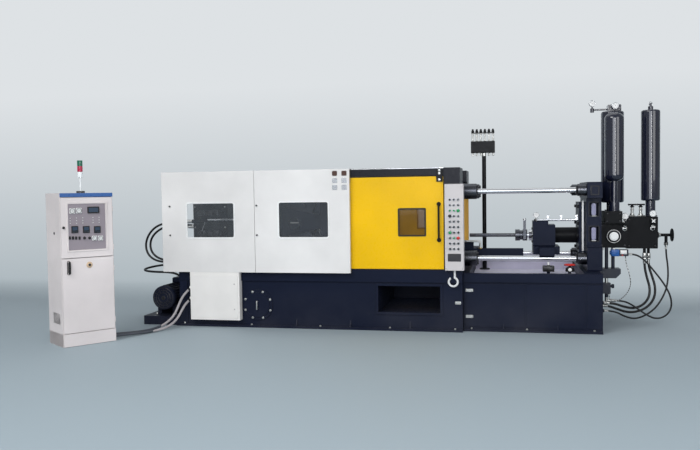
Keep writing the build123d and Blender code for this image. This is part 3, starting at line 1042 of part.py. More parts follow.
SOLENOID_X = (2378.0, 2546.0)
SOLENOID_Y = (-190.0, -120.0)
SOLENOID_Z = (727.0, 794.0)
SOLENOID_PORT_Z = 745.0
DRAIN_SHELF_RIGHT = 2471.0
DRAIN_SHELF_Z = (494.0, 592.0)
DRAIN_SHELF_Y = (-190.0, -20.0)
DRAIN_SHELF_CUT = 48.0
DRAIN_PIPES = ((2335.0, -130.0), (2400.0, -130.0))
LOWER_VALVE_X = (2295.0, 2372.0)
LOWER_VALVE_Y = (-180.0, -100.0)
LOWER_VALVE_Z = (329.0, 441.0)
LOWER_VALVE_KNOB_Z = 405.0
PIPE_RADIUS = 18.0
DRAIN_ELBOW_Z = 252.0
DRAIN_ELBOW_RIGHT = 2410.0
with BuildPart() as drain_valve:
    block(SOLENOID_X, SOLENOID_Y, SOLENOID_Z)
    with BuildSketch(Plane.XZ.offset(-DRAIN_SHELF_Y[1])) as shelf:
        with BuildLine():
            Polyline((INJECTION_BASE_RIGHT, DRAIN_SHELF_Z[0]),
                     (DRAIN_SHELF_RIGHT - DRAIN_SHELF_CUT, DRAIN_SHELF_Z[0]),
                     (DRAIN_SHELF_RIGHT, DRAIN_SHELF_Z[0] + DRAIN_SHELF_CUT),
                     (DRAIN_SHELF_RIGHT, DRAIN_SHELF_Z[1]), (INJECTION_BASE_RIGHT, DRAIN_SHELF_Z[1]),
                     close=True)
        make_face()
    extrude(shelf.sketch, amount=DRAIN_SHELF_Y[1] - DRAIN_SHELF_Y[0])
    for x, y in DRAIN_PIPES:
        bar_z(x, y, (DRAIN_SHELF_Z[1] - 1, MANIFOLD_BOTTOM), PIPE_RADIUS)
    block(LOWER_VALVE_X, LOWER_VALVE_Y, LOWER_VALVE_Z)
    drain_x = sum(LOWER_VALVE_X) / 2
    drain_y = sum(LOWER_VALVE_Y) / 2
    bar_z(drain_x, drain_y, (DRAIN_ELBOW_Z - PIPE_RADIUS, DRAIN_SHELF_Z[0] + 1), PIPE_RADIUS)
    bar_x((drain_x, DRAIN_ELBOW_RIGHT), drain_y, DRAIN_ELBOW_Z, PIPE_RADIUS - 3)
    turned((LOWER_VALVE_X[1], drain_y, LOWER_VALVE_KNOB_Z), (1, 0, 0), [(12, 12), (22, 26)])
save(drain_valve.part, "drain_valve")

# Pump unit at the left end: a finned motor with feet, a bell housing and a pump
MOTOR_X = -2450.0
MOTOR_Z = 285.0
MOTOR_RADIUS = 138.0
MOTOR_FRONT = -700.0
MOTOR_LENGTH = 560.0
FIN_COUNT = 28
FIN_DEPTH = 13.0
FIN_THICKNESS = 4.0
END_SHIELD = 46.0
BELL_LENGTH = 96.0
PUMP_LENGTH = 130.0
STAND_TOP = 95.0
STAND_LEFT = -2656.0
STAND_Y = (-788.0, 240.0)
TERMINAL_BOX_Y = (-340.0, -200.0)
SUCTION_PIPE_RADIUS = 24.0
MOTOR_FOOT_REACH = 88.0
MOTOR_FOOT_WIDTH = 44.0
motor_rear = MOTOR_FRONT + MOTOR_LENGTH
with BuildPart() as pump_stand:
    block((STAND_LEFT, CLAMP_BASE_LEFT), STAND_Y, (0, STAND_TOP))
    chamfer(pump_stand.edges().filter_by(Axis.Z), 12)
save(pump_stand.part, "pump_stand")

with BuildPart() as pump_motor:
    with BuildSketch(Plane.XZ.offset(-motor_rear + END_SHIELD)) as finned:
        with Locations((MOTOR_X, MOTOR_Z)):
            Circle(MOTOR_RADIUS - FIN_DEPTH)
            with PolarLocations(MOTOR_RADIUS - FIN_DEPTH / 2 - 1, FIN_COUNT):
                Rectangle(FIN_DEPTH + 2, FIN_THICKNESS)
    extrude(finned.sketch, amount=MOTOR_LENGTH - 2 * END_SHIELD)
    turned((MOTOR_X, MOTOR_FRONT, MOTOR_Z), (0, 1, 0),
           [(MOTOR_RADIUS - 22, 8), (MOTOR_RADIUS - 4, END_SHIELD - 8)], BROKEN_EDGE)
    turned((MOTOR_X, motor_rear - END_SHIELD, MOTOR_Z), (0, 1, 0),
           [(MOTOR_RADIUS - 4, END_SHIELD - 14), (MOTOR_RADIUS + 6, 14), (90, BELL_LENGTH),
            (74, PUMP_LENGTH), (34, 30)], BROKEN_EDGE)
    for sign in (-1, 1):
        foot_x = MOTOR_X + sign * MOTOR_FOOT_REACH
        block((foot_x - MOTOR_FOOT_WIDTH / 2, foot_x + MOTOR_FOOT_WIDTH / 2),
              (MOTOR_FRONT + END_SHIELD + 30, motor_rear - END_SHIELD - 30),
              (STAND_TOP, MOTOR_Z - MOTOR_RADIUS * 0.52))
    bell_middle = motor_rear + BELL_LENGTH + PUMP_LENGTH / 2
    block((MOTOR_X - 60, MOTOR_X + 60), (motor_rear + 20, motor_rear + BELL_LENGTH - 20),
          (STAND_TOP, MOTOR_Z))
    turned((MOTOR_X, bell_middle, MOTOR_Z), (0, 0, 1), [(30, 96), (21, 24)])
    bar_x((MOTOR_X, CLAMP_BASE_LEFT), bell_middle, MOTOR_Z, SUCTION_PIPE_RADIUS)
    block((MOTOR_X - 62, MOTOR_X + 62), TERMINAL_BOX_Y, (MOTOR_Z + MOTOR_RADIUS - 20, MOTOR_Z + MOTOR_RADIUS + 42))
save(pump_motor.part, "pump_motor")

# Control cabinet, turned towards the operator
CABINET_CORNER = (-2795.0, -2109.0)
CABINET_TURN = 53.0
CABINET_WIDTH = 516.0
CABINET_DEPTH = 360.0
CABINET_HEIGHT = 1462.0
CABINET_WALL = 12.0
CABINET_RIM = 40.0
PLINTH = 128.0
DOOR_SEAM = 843.0
CABINET_DOOR_THICKNESS = 18.0
CABINET_DOOR_GAP = 2.0
CABINET_HINGE_RADIUS = 5.0
HINGE_LENGTH = 25.0
HINGE_STANDOFF = 10.0
HINGE_AXIS_INSET = 4.0
HINGE_HEIGHTS = (60.0, 140.0)
cabinet_turn = radians(CABINET_TURN)
cabinet_plane = Plane(origin=(*CABINET_CORNER, 0), x_dir=(cos(cabinet_turn), sin(cabinet_turn), 0),
                      z_dir=(0, 0, 1))
hinge_x = CABINET_WIDTH - HINGE_AXIS_INSET
door_spans = {"lower": (PLINTH + 3, DOOR_SEAM - 3), "upper": (DOOR_SEAM + 3, CABINET_HEIGHT - CABINET_RIM - 3)}
CABINET_GLANDS = ((84.0, 30.0), (186.0, 30.0))
CABINET_GLAND_LENGTH = 12.0
with BuildPart(cabinet_plane) as cabinet_body:
    block((0, CABINET_WIDTH), (0, CABINET_DEPTH), (0, CABINET_HEIGHT))
    block((CABINET_WALL, CABINET_WIDTH - CABINET_WALL), (-1, CABINET_DEPTH - CABINET_WALL),
          (PLINTH, CABINET_HEIGHT - CABINET_RIM), Mode.SUBTRACT)
    for low, high in door_spans.values():
        for z in (low + HINGE_HEIGHTS[0], high - HINGE_HEIGHTS[1]):
            bar_z(hinge_x, -HINGE_STANDOFF, (z, z + HINGE_LENGTH), CABINET_HINGE_RADIUS)
            block((hinge_x - HINGE_AXIS_INSET, CABINET_WIDTH), (-HINGE_STANDOFF, 0), (z, z + HINGE_LENGTH))
    for y, z in CABINET_GLANDS:
        bar_x((CABINET_WIDTH, CABINET_WIDTH + CABINET_GLAND_LENGTH), y, z, CONDUIT_GLAND_RADIUS)
save(cabinet_body.part, "cabinet_body")

HANDLE_INSET = 64.0
CABINET_HANDLE_LENGTH = 110.0
CABINET_HANDLE_DROP = 140.0
LOCK_RADIUS = 12.0
LOCK_REACH = 8.0
LOCK_PLACE = (264.0, 771.0)
LATCH_PLACE = (26.0, 1136.0)
BEZEL_X = (58.0, 456.0)
BEZEL_Z = (904.0, 1373.0)
BEZEL_REACH = 5.0
BEZEL_BORDER = 12.0
door_face = -CABINET_DOOR_GAP - CABINET_DOOR_THICKNESS
for name, (low, high) in door_spans.items():
    with BuildPart(cabinet_plane) as cabinet_door:
        block((HINGE_AXIS_INSET, CABINET_WIDTH - CABINET_WALL), (door_face, -CABINET_DOOR_GAP), (low, high))
        for z in (low + HINGE_HEIGHTS[0], high - HINGE_HEIGHTS[1]):
            knuckle_z = (z + HINGE_LENGTH + SEAT_GAP * 2, z + 2 * HINGE_LENGTH)
            bar_z(hinge_x, -HINGE_STANDOFF, knuckle_z, CABINET_HINGE_RADIUS)
            block((CABINET_WIDTH - CABINET_WALL - 2, hinge_x), (-HINGE_STANDOFF - 4, -HINGE_STANDOFF + 2),
                  knuckle_z)
        if name == "lower":
            handle_z = (high - CABINET_HANDLE_DROP, high - CABINET_HANDLE_DROP + CABINET_HANDLE_LENGTH)
            block((HANDLE_INSET - 9, HANDLE_INSET + 9), (door_face - 22, door_face - 12), handle_z)
            for z in handle_z:
                block((HANDLE_INSET - 9, HANDLE_INSET + 9), (door_face - 22, door_face), (z - 6, z + 6))
            bar_y(LOCK_PLACE[0], (door_face - LOCK_REACH, door_face), LOCK_PLACE[1], LOCK_RADIUS)
        else:
            block(BEZEL_X, (door_face - BEZEL_REACH, door_face), BEZEL_Z)
            block((BEZEL_X[0] + BEZEL_BORDER, BEZEL_X[1] - BEZEL_BORDER),
                  (door_face - BEZEL_REACH - 1, door_face),
                  (BEZEL_Z[0] + BEZEL_BORDER, BEZEL_Z[1] - BEZEL_BORDER), Mode.SUBTRACT)
            bar_y(LATCH_PLACE[0], (door_face - LOCK_REACH, door_face), LATCH_PLACE[1], LOCK_RADIUS)
    save(cabinet_door.part, f"cabinet_{name}_door")

LAMP_PLACE = (276.0, 180.0)
LAMP_FOOT_RADIUS = 40.0
LAMP_FOOT_HEIGHT = 20.0
LAMP_POLE_RADIUS = 8.0
LAMP_RADIUS = 25.0
LAMP_POLE_LENGTH = 130.0
LENS_LENGTH = 52.0
LENS_GAP = 4.0
lamp_steps = [(LAMP_FOOT_RADIUS, LAMP_FOOT_HEIGHT), (LAMP_POLE_RADIUS, LAMP_POLE_LENGTH)]
lamp_steps += [(LAMP_RADIUS - 3, LENS_GAP), (LAMP_RADIUS, LENS_LENGTH)] * 3
with BuildPart(cabinet_plane) as signal_lamp:
    lamp_z = CABINET_HEIGHT
    for radius, length in lamp_steps:
        bar_z(*LAMP_PLACE, (lamp_z, lamp_z + length), radius)
        lamp_z += length
save(signal_lamp.part, "signal_lamp")


# Hoses and conduits: straight runs joined by tangent arcs
def corner_radii(points):
    """As large an arc at each corner as its two runs allow."""
    corners = [Vector(*p) for p in points]
    radii = []
    for before, here, after in zip(corners, corners[1:], corners[2:]):
        run = min((here - before).length, (after - here).length)
        turn = radians((here - before).get_angle(after - here))
        radii.append(0.45 * run * cos(turn / 2) / sin(turn / 2))
    return radii


def hose(name, points, diameter):
    radii = corner_radii(points)
    with BuildPart() as tube:
        with BuildLine() as path:
            FilletPolyline(*points, radius=radii)
        route = path.wire()
        with BuildSketch(Plane(origin=route @ 0, z_dir=route % 0)) as section:
            Circle(diameter / 2)
        sweep(section.sketch, path=route)
    ratio = tube.part.volume / (section.sketch.area * route.length)
    print(name, "radii", [round(r) for r in radii], "length", round(route.length),
          "volume ratio", round(ratio, 4))
    save(tube.part, name)


def cabinet_point(x, y, z):
    """A point of the cabinet's own plane in the machine's frame."""
    return tuple(cabinet_plane.from_local_coords(Vector(x, y, z)))


port_end = INJECTION_BASE_RIGHT + HOSE_PORT_LENGTH
clamp_port_end = VALVE_BLOCK_LEFT - CLAMP_PORT_LENGTH
hose("pressure_hose", [
    (SOLENOID_X[1], -155, SOLENOID_PORT_Z), (2600, -155, SOLENOID_PORT_Z), (2660, -158, 724),
    (2722, -163, 672), (2792, -170, 585), (2862, -178, 492), (2925, -184, 395), (2966, -188, 295),
    (2970, -190, 200), (2932, -194, 124), (2862, -210, 85), (2785, -234, 88), (2712, -252, 126),
    (2642, -246, 176), (2574, -210, 224), (2502, -140, 252),
    (DRAIN_ELBOW_RIGHT, drain_y, DRAIN_ELBOW_Z)], 18)
hose("main_hose_front", [
    PORT_PLACES[0], (2725, -60, 610), (2748, -64, 495), (2778, -80, 385), (2765, -105, 285),
    (2700, -150, 212), (2600, -200, 180), (2490, -252, 205), (2385, -292, 248),
    (port_end, *HOSE_PORTS[0])], 25)
hose("main_hose_rear", [
    PORT_PLACES[1], (2785, 60, 605), (2820, 45, 495), (2850, 20, 380), (2835, -15, 268),
    (2765, -55, 180), (2660, -90, 132), (2545, -120, 125), (2430, -148, 168), (2350, -168, 200),
    (port_end, *HOSE_PORTS[1])], 25)
hose("pilot_hose", [
    (ELBOW_X, 0, ELBOW_BOTTOM), (2950, 0, 742), (2966, -12, 620), (2968, -28, 498),
    (2948, -50, 375), (2895, -75, 262), (2820, -108, 165), (2720, -155, 102), (2610, -210, 72),
    (2500, -275, 105), (2390, -330, 172), (port_end, *HOSE_PORTS[2])], 18)
hose("signal_cable", [
    (2520, -172, SOLENOID_Z[0]), (2520, -172, 690), (2530, -180, 632), (2548, -190, 570),
    (2562, -196, 510), (2568, -198, 455), (2562, -197, 405), (2545, -195, 360), (2518, -192, 320),
    (2484, -188, 284), (2446, -182, 256), (2408, -176, 250), (2374, -171, 262), (2356, -168, 292),
    (2356, -168, LOWER_VALVE_Z[0])], 8)
hose("clamp_hose_outer", [
    (clamp_port_end, *CLAMP_PORTS[0]), (-2330, -240, 1075), (-2485, -222, 1105), (-2640, -198, 1105),
    (-2780, -174, 1065), (-2880, -158, 980), (-2930, -152, 880), (-2930, -155, 785),
    (-2882, -168, 705), (-2790, -188, 655), (-2660, -210, 638), (-2500, -232, 650),
    (-2340, -240, 672), (clamp_port_end, *CLAMP_PORTS[3])], 25)
hose("clamp_hose_inner", [
    (clamp_port_end, *CLAMP_PORTS[1]), (-2330, -345, 1060), (-2455, -335, 1078), (-2590, -315, 1068),
    (-2705, -298, 1015), (-2785, -288, 940), (-2812, -283, 850), (-2792, -286, 765),
    (-2722, -296, 702), (-2605, -312, 668), (-2455, -335, 672), (-2330, -345, 690),
    (clamp_port_end, *CLAMP_PORTS[2])], 25)
hose("return_hose", [
    (clamp_port_end, *CLAMP_PORTS[4]), (-2325, -190, 634), (-2440, -184, 626), (-2560, -170, 616),
    (-2680, -158, 604), (-2778, -182, 592), (-2836, -252, 580), (-2853, -345, 570),
    (-2812, -430, 562), (-2728, -478, 556), (-2618, -490, 552), (-2510, -478, 550),
    (-2416, -464, 538), (-2338, -453, 490), (-2288, -446, 414), (TANK_PORT_X, TANK_PORT_Y, 330),
    (TANK_PORT_X, TANK_PORT_Y, TANK_PORT_TOP)], 25)


def gland_point(z, run):
    """A point along the axis of a tilted conduit gland, a run beyond its end."""
    reach = CONDUIT_GLAND_LENGTH + run
    return (JUNCTION_LEFT + CONDUIT_GLAND_INSET + gland_way[0] * reach, -GLAND_Y, z + gland_way[2] * reach)


cabinet_glands = [cabinet_point(CABINET_WIDTH + CABINET_GLAND_LENGTH, y, z) for y, z in CABINET_GLANDS]
before_cabinet = [cabinet_point(CABINET_WIDTH + CABINET_GLAND_LENGTH + 85, y, z) for y, z in CABINET_GLANDS]
hose("conduit_upper", [
    gland_point(CONDUIT_GLANDS_Z[0], 0), gland_point(CONDUIT_GLANDS_Z[0], 80), (-2168, -858, 296),
    (-2202, -872, 212), (-2228, -908, 134), (-2260, -974, 76), (-2302, -1064, 38), (-2352, -1160, 21),
    (-2396, -1258, 18), (-2458, -1348, 20), (-2516, -1430, 26), before_cabinet[1], cabinet_glands[1]], 26)
hose("conduit_lower", [
    gland_point(CONDUIT_GLANDS_Z[1], 0), gland_point(CONDUIT_GLANDS_Z[1], 76), (-2156, -868, 182),
    (-2180, -914, 110), (-2202, -990, 58), (-2230, -1088, 30), (-2272, -1190, 18), (-2324, -1290, 16),
    (-2380, -1385, 18), (-2434, -1480, 24), before_cabinet[0], cabinet_glands[0]], 26)
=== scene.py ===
import json
import math

import bmesh
import bpy
from mathutils import Matrix, Vector


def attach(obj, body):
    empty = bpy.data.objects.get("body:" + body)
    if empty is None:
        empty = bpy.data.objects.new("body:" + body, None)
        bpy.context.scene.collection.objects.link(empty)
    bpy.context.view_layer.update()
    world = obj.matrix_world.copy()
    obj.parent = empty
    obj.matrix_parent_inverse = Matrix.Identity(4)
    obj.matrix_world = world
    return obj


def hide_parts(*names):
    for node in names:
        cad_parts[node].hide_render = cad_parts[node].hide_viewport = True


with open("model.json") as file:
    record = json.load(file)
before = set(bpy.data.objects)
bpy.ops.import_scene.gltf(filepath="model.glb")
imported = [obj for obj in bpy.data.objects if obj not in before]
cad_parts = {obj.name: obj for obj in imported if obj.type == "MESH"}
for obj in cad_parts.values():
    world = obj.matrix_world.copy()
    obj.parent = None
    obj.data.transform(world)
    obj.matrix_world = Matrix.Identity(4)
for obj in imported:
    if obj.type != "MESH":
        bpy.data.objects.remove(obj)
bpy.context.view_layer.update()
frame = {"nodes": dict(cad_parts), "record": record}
UP, FRONT, REAR, RIGHT, LEFT = (0, 0, 1), (0, -1, 0), (0, 1, 0), (1, 0, 0), (-1, 0, 0)

# Where the machine's main faces and axes are, in metres
GUARD_FACE = 0.880
DOOR_FACE = 0.820
CLAMP_AXIS = 1.070
SHOT_AXIS = 0.940
TIE_BARS = [(y, CLAMP_AXIS + rise) for y in (-0.352, 0.352) for rise in (-0.355, 0.355)]
BACKDROP_TOP = (0.73, 0.76, 0.783, 1)
SHARP_ANGLE = math.radians(35)


def put(name, data):
    made = bpy.data.objects.new(name, data)
    bpy.context.scene.collection.objects.link(made)
    return made


# Camera and lamps
def set_camera():
    data = bpy.data.cameras.new("photo_camera")
    data.lens = 38.52
    data.sensor_width = 36
    data.clip_end = 200
    right = Vector((0.97821, 0.207146, -0.013988))
    up = Vector((0.00499, 0.043898, 0.999024))
    back = Vector((0.207558, -0.977325, 0.041908))
    turn = Matrix((right, up, back)).transposed().to_4x4()
    camera = put("photo_camera", data)
    camera.matrix_world = Matrix.Translation((1.328, -8.415, 1.420)) @ turn
    bpy.context.scene.camera = camera


def soft_lamp(name, place, target, size, watts, tint=(1, 1, 1)):
    data = bpy.data.lights.new(name, "AREA")
    data.shape = "RECTANGLE"
    data.size, data.size_y = size
    data.energy = watts
    data.color = tint
    lamp = put(name, data)
    lamp.location = place
    lamp.rotation_mode = "QUATERNION"
    lamp.rotation_quaternion = (Vector(target) - Vector(place)).to_track_quat("-Z", "Y")


set_camera()
soft_lamp("key", (-3.5, -7.5, 6.5), (0, 0, 0.8), (5, 4), 370)
soft_lamp("front", (0.8, -9.5, 3.0), (0.6, 0, 1.0), (5, 4), 210, (0.9, 0.93, 1.0))
soft_lamp("fill", (6.5, -6.0, 3.5), (0.5, 0, 0.8), (4, 4), 120)
soft_lamp("strip", (3.3, -9.0, 1.9), (2.6, 0, 1.6), (0.3, 5.0), 100)
soft_lamp("top", (0.5, 1.0, 6.5), (0.3, 0, 0), (7, 4), 60)


class Shading:
    """A node tree with short ways to add nodes and to feed their sockets."""

    def __init__(self, tree):
        self.tree, self.nodes, self.links = tree, tree.nodes, tree.links

    def feed(self, node, feeds):
        for label, value in feeds.items():
            if hasattr(value, "links"):
                self.links.new(value, node.inputs[label])
            else:
                node.inputs[label].default_value = value
        return node

    def add(self, kind, feeds=None, **settings):
        node = self.nodes.new("ShaderNode" + kind)
        for label, value in settings.items():
            setattr(node, label, value)
        return self.feed(node, feeds or {})

    def where(self):
        return self.add("TexCoord").outputs["Object"]

    def along(self, axis):
        return self.add("SeparateXYZ", {0: self.where()}).outputs[axis]

    def noise(self, where, scale, detail):
        return self.add("TexNoise", {"Vector": where, "Scale": scale, "Detail": detail}).outputs["Fac"]

    def span(self, value, low, high, to_low=0.0, to_high=1.0):
        return self.add("MapRange", {"Value": value, "From Min": low, "From Max": high, "To Min": to_low,
                                     "To Max": to_high}).outputs["Result"]

    def maths(self, kind, first, second=0.0):
        return self.add("Math", {0: first, 1: second}, operation=kind).outputs[0]

    def times(self, first, second):
        return self.maths("MULTIPLY", first, second)

    def blend(self, amount, first, second):
        return self.add("Mix", {0: amount, 6: first, 7: second}, data_type="RGBA").outputs[2]

    def pick(self, share, first, second):
        return self.add("MixShader", {0: share, 1: first.outputs[0], 2: second.outputs[0]})


class Material(Shading):
    """A new material with its first shader."""

    def __init__(self, name):
        self.data = bpy.data.materials.new(name)
        self.data.use_nodes = True
        super().__init__(self.data.node_tree)
        self.shader = self.nodes["Principled BSDF"]

    def dress(self, shader, look):
        """Feeds one shader from a shared effect and its settings."""
        group, values, metallic, coat, specular = look
        given = self.add("Group", node_tree=group)
        self.feed(given, values)
        return self.feed(shader, {"Metallic": metallic, "Coat Weight": coat, "Specular IOR Level": specular,
                                  "Base Color": given.outputs["Color"], "Roughness": given.outputs["Roughness"],
                                  "Normal": given.outputs["Normal"]})

    def end_in(self, shader):
        self.feed(self.nodes["Material Output"], {"Surface": shader.outputs[0]})
        return self.data


def set_world():
    world = bpy.data.worlds.new("studio")
    bpy.context.scene.world = world
    world.use_nodes = True
    work = Shading(world.node_tree)
    sky = work.add("Background", {"Color": (0.86, 0.9, 0.93, 1), "Strength": 0.4})
    seen_sky = work.add("Background", {"Color": BACKDROP_TOP})
    shown = work.pick(work.add("LightPath").outputs["Is Camera Ray"], sky, seen_sky)
    work.feed(work.nodes["World Output"], {"Surface": shown.outputs[0]})


def lay_floor():
    """A floor that curves up into a backdrop, paler with height and clear from behind."""
    bm = bmesh.new()
    profile = [bm.verts.new(place) for place in ((-45, -30, -0.0005), (-45, 4.5, -0.0005), (-45, 6, 16))]
    for pair in zip(profile, profile[1:]):
        bm.edges.new(pair)
    bmesh.ops.bevel(bm, geom=[profile[1]], offset=1.6, segments=12, profile=0.5, affect="VERTICES", material=-1)
    swept = bmesh.ops.extrude_edge_only(bm, edges=bm.edges[:])["geom"]
    bmesh.ops.translate(bm, vec=(90, 0, 0), verts=[v for v in swept if isinstance(v, bmesh.types.BMVert)])
    bmesh.ops.recalc_face_normals(bm, faces=bm.faces)
    bmesh.ops.reverse_faces(bm, faces=bm.faces)
    mesh = bpy.data.meshes.new("studio_floor")
    bm.to_mesh(mesh)
    bm.free()
    floor = put("studio_floor", mesh)
    work = Material("pale_floor")
    paler = work.maths("ADD", work.span(work.along("Y"), -2.0, 4.0, 0.0, 0.25),
                       work.span(work.along("Z"), 0.0, 3.4, 0.0, 0.75))
    colour = work.blend(paler, (0.347, 0.413, 0.451, 1), BACKDROP_TOP)
    work.feed(work.shader, {"Roughness": 0.6, "Specular IOR Level": 0.1, "Base Color": colour})
    behind = work.span(work.along("Y"), 0.9, 3.2)
    glowing = work.times(behind, work.add("LightPath").outputs["Is Camera Ray"])
    lit = work.pick(glowing, work.shader, work.add("Emission", {"Color": colour}))
    backface = work.add("NewGeometry").outputs["Backfacing"]
    mesh.materials.append(work.end_in(work.pick(backface, lit, work.add("BsdfTransparent"))))


# Shared shading effects
def effect(name, inputs):
    """A node group from its settings to a colour, a roughness and a normal."""
    group = bpy.data.node_groups.new(name, "ShaderNodeTree")
    for label, value in inputs.items():
        kind = "Float" if isinstance(value, float) else "Color" if len(value) == 4 else "Vector"
        socket = group.interface.new_socket(name=label, in_out="INPUT", socket_type="NodeSocket" + kind)
        socket.default_value = value
    for label, kind in (("Color", "Color"), ("Roughness", "Float"), ("Normal", "Vector")):
        group.interface.new_socket(name=label, in_out="OUTPUT", socket_type="NodeSocket" + kind)
    return Shading(group), group.nodes.new("NodeGroupInput").outputs, group.nodes.new("NodeGroupOutput")


def worn_paint_effect():
    """Paint over metal: cloudy tone, chipped edges (with a pale bare metal and full wear, painted edge highlights),
    dust near the floor, a fine grain.
    """
    work, given, out = effect("worn_paint", {
        "Paint": (0.5, 0.5, 0.5, 1), "Bare": (0.4, 0.4, 0.4, 1), "Dust": (0.3, 0.28, 0.25, 1), "Wear": 0.3,
        "Dust amount": 0.3, "Gloss low": 0.3, "Gloss high": 0.45, "Grain": 0.12})
    where = work.where()
    cloud = work.noise(where, 1.7, 5.0)
    speckle = work.noise(where, 38.0, 4.0)
    tone = work.add("VectorMath", {0: given["Paint"], "Scale": work.span(cloud, 0.3, 0.7, 0.9, 1.08)},
                    operation="SCALE")
    rounded = work.add("Bevel", {"Radius": 0.004}, samples=4).outputs[0]
    match = work.add("VectorMath", {0: rounded, 1: work.add("NewGeometry").outputs["Normal"]},
                     operation="DOT_PRODUCT")
    chipped_and_highlit_edges = work.times(work.span(match.outputs["Value"], 0.995, 0.86), work.span(speckle, 0.47, 0.62))
    colour = work.blend(work.times(chipped_and_highlit_edges, given["Wear"]), tone.outputs[0], given["Bare"])
    settled = work.times(work.span(work.along("Z"), 0.45, 0.0), work.span(cloud, 0.35, 0.65))
    dust = work.times(settled, given["Dust amount"])
    gloss = work.span(speckle, 0.35, 0.65, given["Gloss low"], given["Gloss high"])
    bump = work.add("Bump", {"Distance": 0.0006, "Strength": given["Grain"], "Normal": rounded,
                             "Height": work.noise(where, 420.0, 2.0)})
    work.feed(out, {"Color": work.blend(dust, colour, given["Dust"]), "Normal": bump.outputs[0],
                    "Roughness": work.maths("ADD", gloss, work.times(dust, 0.4))})
    return work.tree


def machined_effect():
    """Machined metal: fine lines along one direction, a little staining."""
    work, given, out = effect("machined_metal", {
        "Metal": (0.5, 0.5, 0.5, 1), "Stain": (0.2, 0.18, 0.15, 1), "Staining": 0.2, "Gloss low": 0.15,
        "Gloss high": 0.35, "Lines": (1, 40, 40)})
    where = work.where()
    fine = work.noise(work.add("Mapping", {"Vector": where, "Scale": given["Lines"]}).outputs[0], 24.0, 2.0)
    stained = work.times(work.span(work.noise(where, 6.0, 4.0), 0.45, 0.75), given["Staining"])
    bump = work.add("Bump", {"Distance": 0.0004, "Strength": 0.12, "Height": fine,
                             "Normal": work.add("Bevel", {"Radius": 0.002}, samples=4).outputs[0]})
    work.feed(out, {"Color": work.blend(stained, given["Metal"], given["Stain"]), "Normal": bump.outputs[0],
                    "Roughness": work.span(fine, 0.3, 0.7, given["Gloss low"], given["Gloss high"])})
    return work.tree


set_world()
lay_floor()
WORN_PAINT = worn_paint_effect()
MACHINED = machined_effect()


def dressed(name, look):
    made = Material(name)
    made.dress(made.shader, look)
    return made.data


def zoned(name, plain, special, *zones):
    """One look, and another inside boxes of (axis, low, high) limits."""
    made = Material(name)
    share = 0.0
    for limits in zones:
        inside = 1.0
        for axis, low, high in limits:
            away = made.maths("ABSOLUTE", made.maths("SUBTRACT", made.along(axis), (low + high) / 2))
            inside = made.times(inside, made.maths("LESS_THAN", away, (high - low) / 2))
        share = made.maths("MAXIMUM", share, inside)
    return made.end_in(made.pick(share, made.dress(made.shader, plain),
                                 made.dress(made.add("BsdfPrincipled"), special)))


def paint_look(colour, gloss, bare, wear=0.3, dust=0.3, coat=0.0, grain=0.12, specular=0.4):
    return WORN_PAINT, {"Paint": (*colour, 1), "Bare": (*bare, 1), "Wear": wear, "Dust amount": dust,
                        "Gloss low": gloss[0], "Gloss high": gloss[1], "Grain": grain}, 0.0, coat, specular


def metal_look(colour, gloss, staining=0.2, lines=(1, 40, 40)):
    return MACHINED, {"Metal": (*colour, 1), "Stain": (0.12, 0.1, 0.08, 1), "Staining": staining,
                      "Gloss low": gloss[0], "Gloss high": gloss[1], "Lines": lines}, 1.0, 0.0, 0.5


def clear_pane(name, colour, alpha, roughness, specular):
    """A thin clear sheet with a faint smear, let through by its alpha."""
    made = Material(name)
    smear = made.noise(made.add("Mapping", {"Vector": made.where(), "Scale": (1, 1, 0.4)}).outputs[0], 3.0, 4.0)
    made.feed(made.shader, {"Base Color": (*colour, 1), "Specular IOR Level": specular,
                            "Alpha": made.span(smear, 0.35, 0.7, alpha * 0.8, alpha * 1.25),
                            "Roughness": made.span(smear, 0.3, 0.7, roughness, roughness + 0.06)})
    return made.data


def lamp_lenses():
    """A black foot, a white pole, and red and green lenses by height on the lamp."""
    made = Material("lamp_lenses")
    ramp = made.add("ValToRGB", {0: made.span(made.along("Z"), 1.462, 1.780)})
    ramp.color_ramp.interpolation = "CONSTANT"
    stops = ramp.color_ramp.elements
    stops[0].position, stops[0].color = 0.0, (0.02, 0.02, 0.02, 1)
    stops[1].position, stops[1].color = 0.063, (0.8, 0.83, 0.84, 1)
    for place, colour in ((0.648, (0.42, 0.02, 0.06, 1)), (0.824, (0.012, 0.13, 0.075, 1))):
        stops.new(place).color = colour
    ribs = made.add("TexWave", {"Scale": 60, "Vector": made.where()}, bands_direction="Z")
    bump = made.add("Bump", {"Strength": 0.25, "Distance": 0.001, "Height": ribs.outputs["Fac"]})
    made.feed(made.shader, {"Base Color": ramp.outputs[0], "Normal": bump.outputs[0], "Roughness": 0.18,
                            "Coat Weight": 0.15})
    return made.data


def braided_cable():
    """A cable in a braid of bright and dark strands."""
    made = Material("braided_cable")
    weave = made.add("TexWave", {"Scale": 22.0, "Distortion": 2.0, "Vector": made.where()}, wave_type="BANDS",
                     bands_direction="DIAGONAL")
    return made.end_in(made.pick(made.span(weave.outputs["Fac"], 0.4, 0.5), made.dress(made.shader, BLACK_LOOK),
                                 made.dress(made.add("BsdfPrincipled"), ZINC_LOOK)))
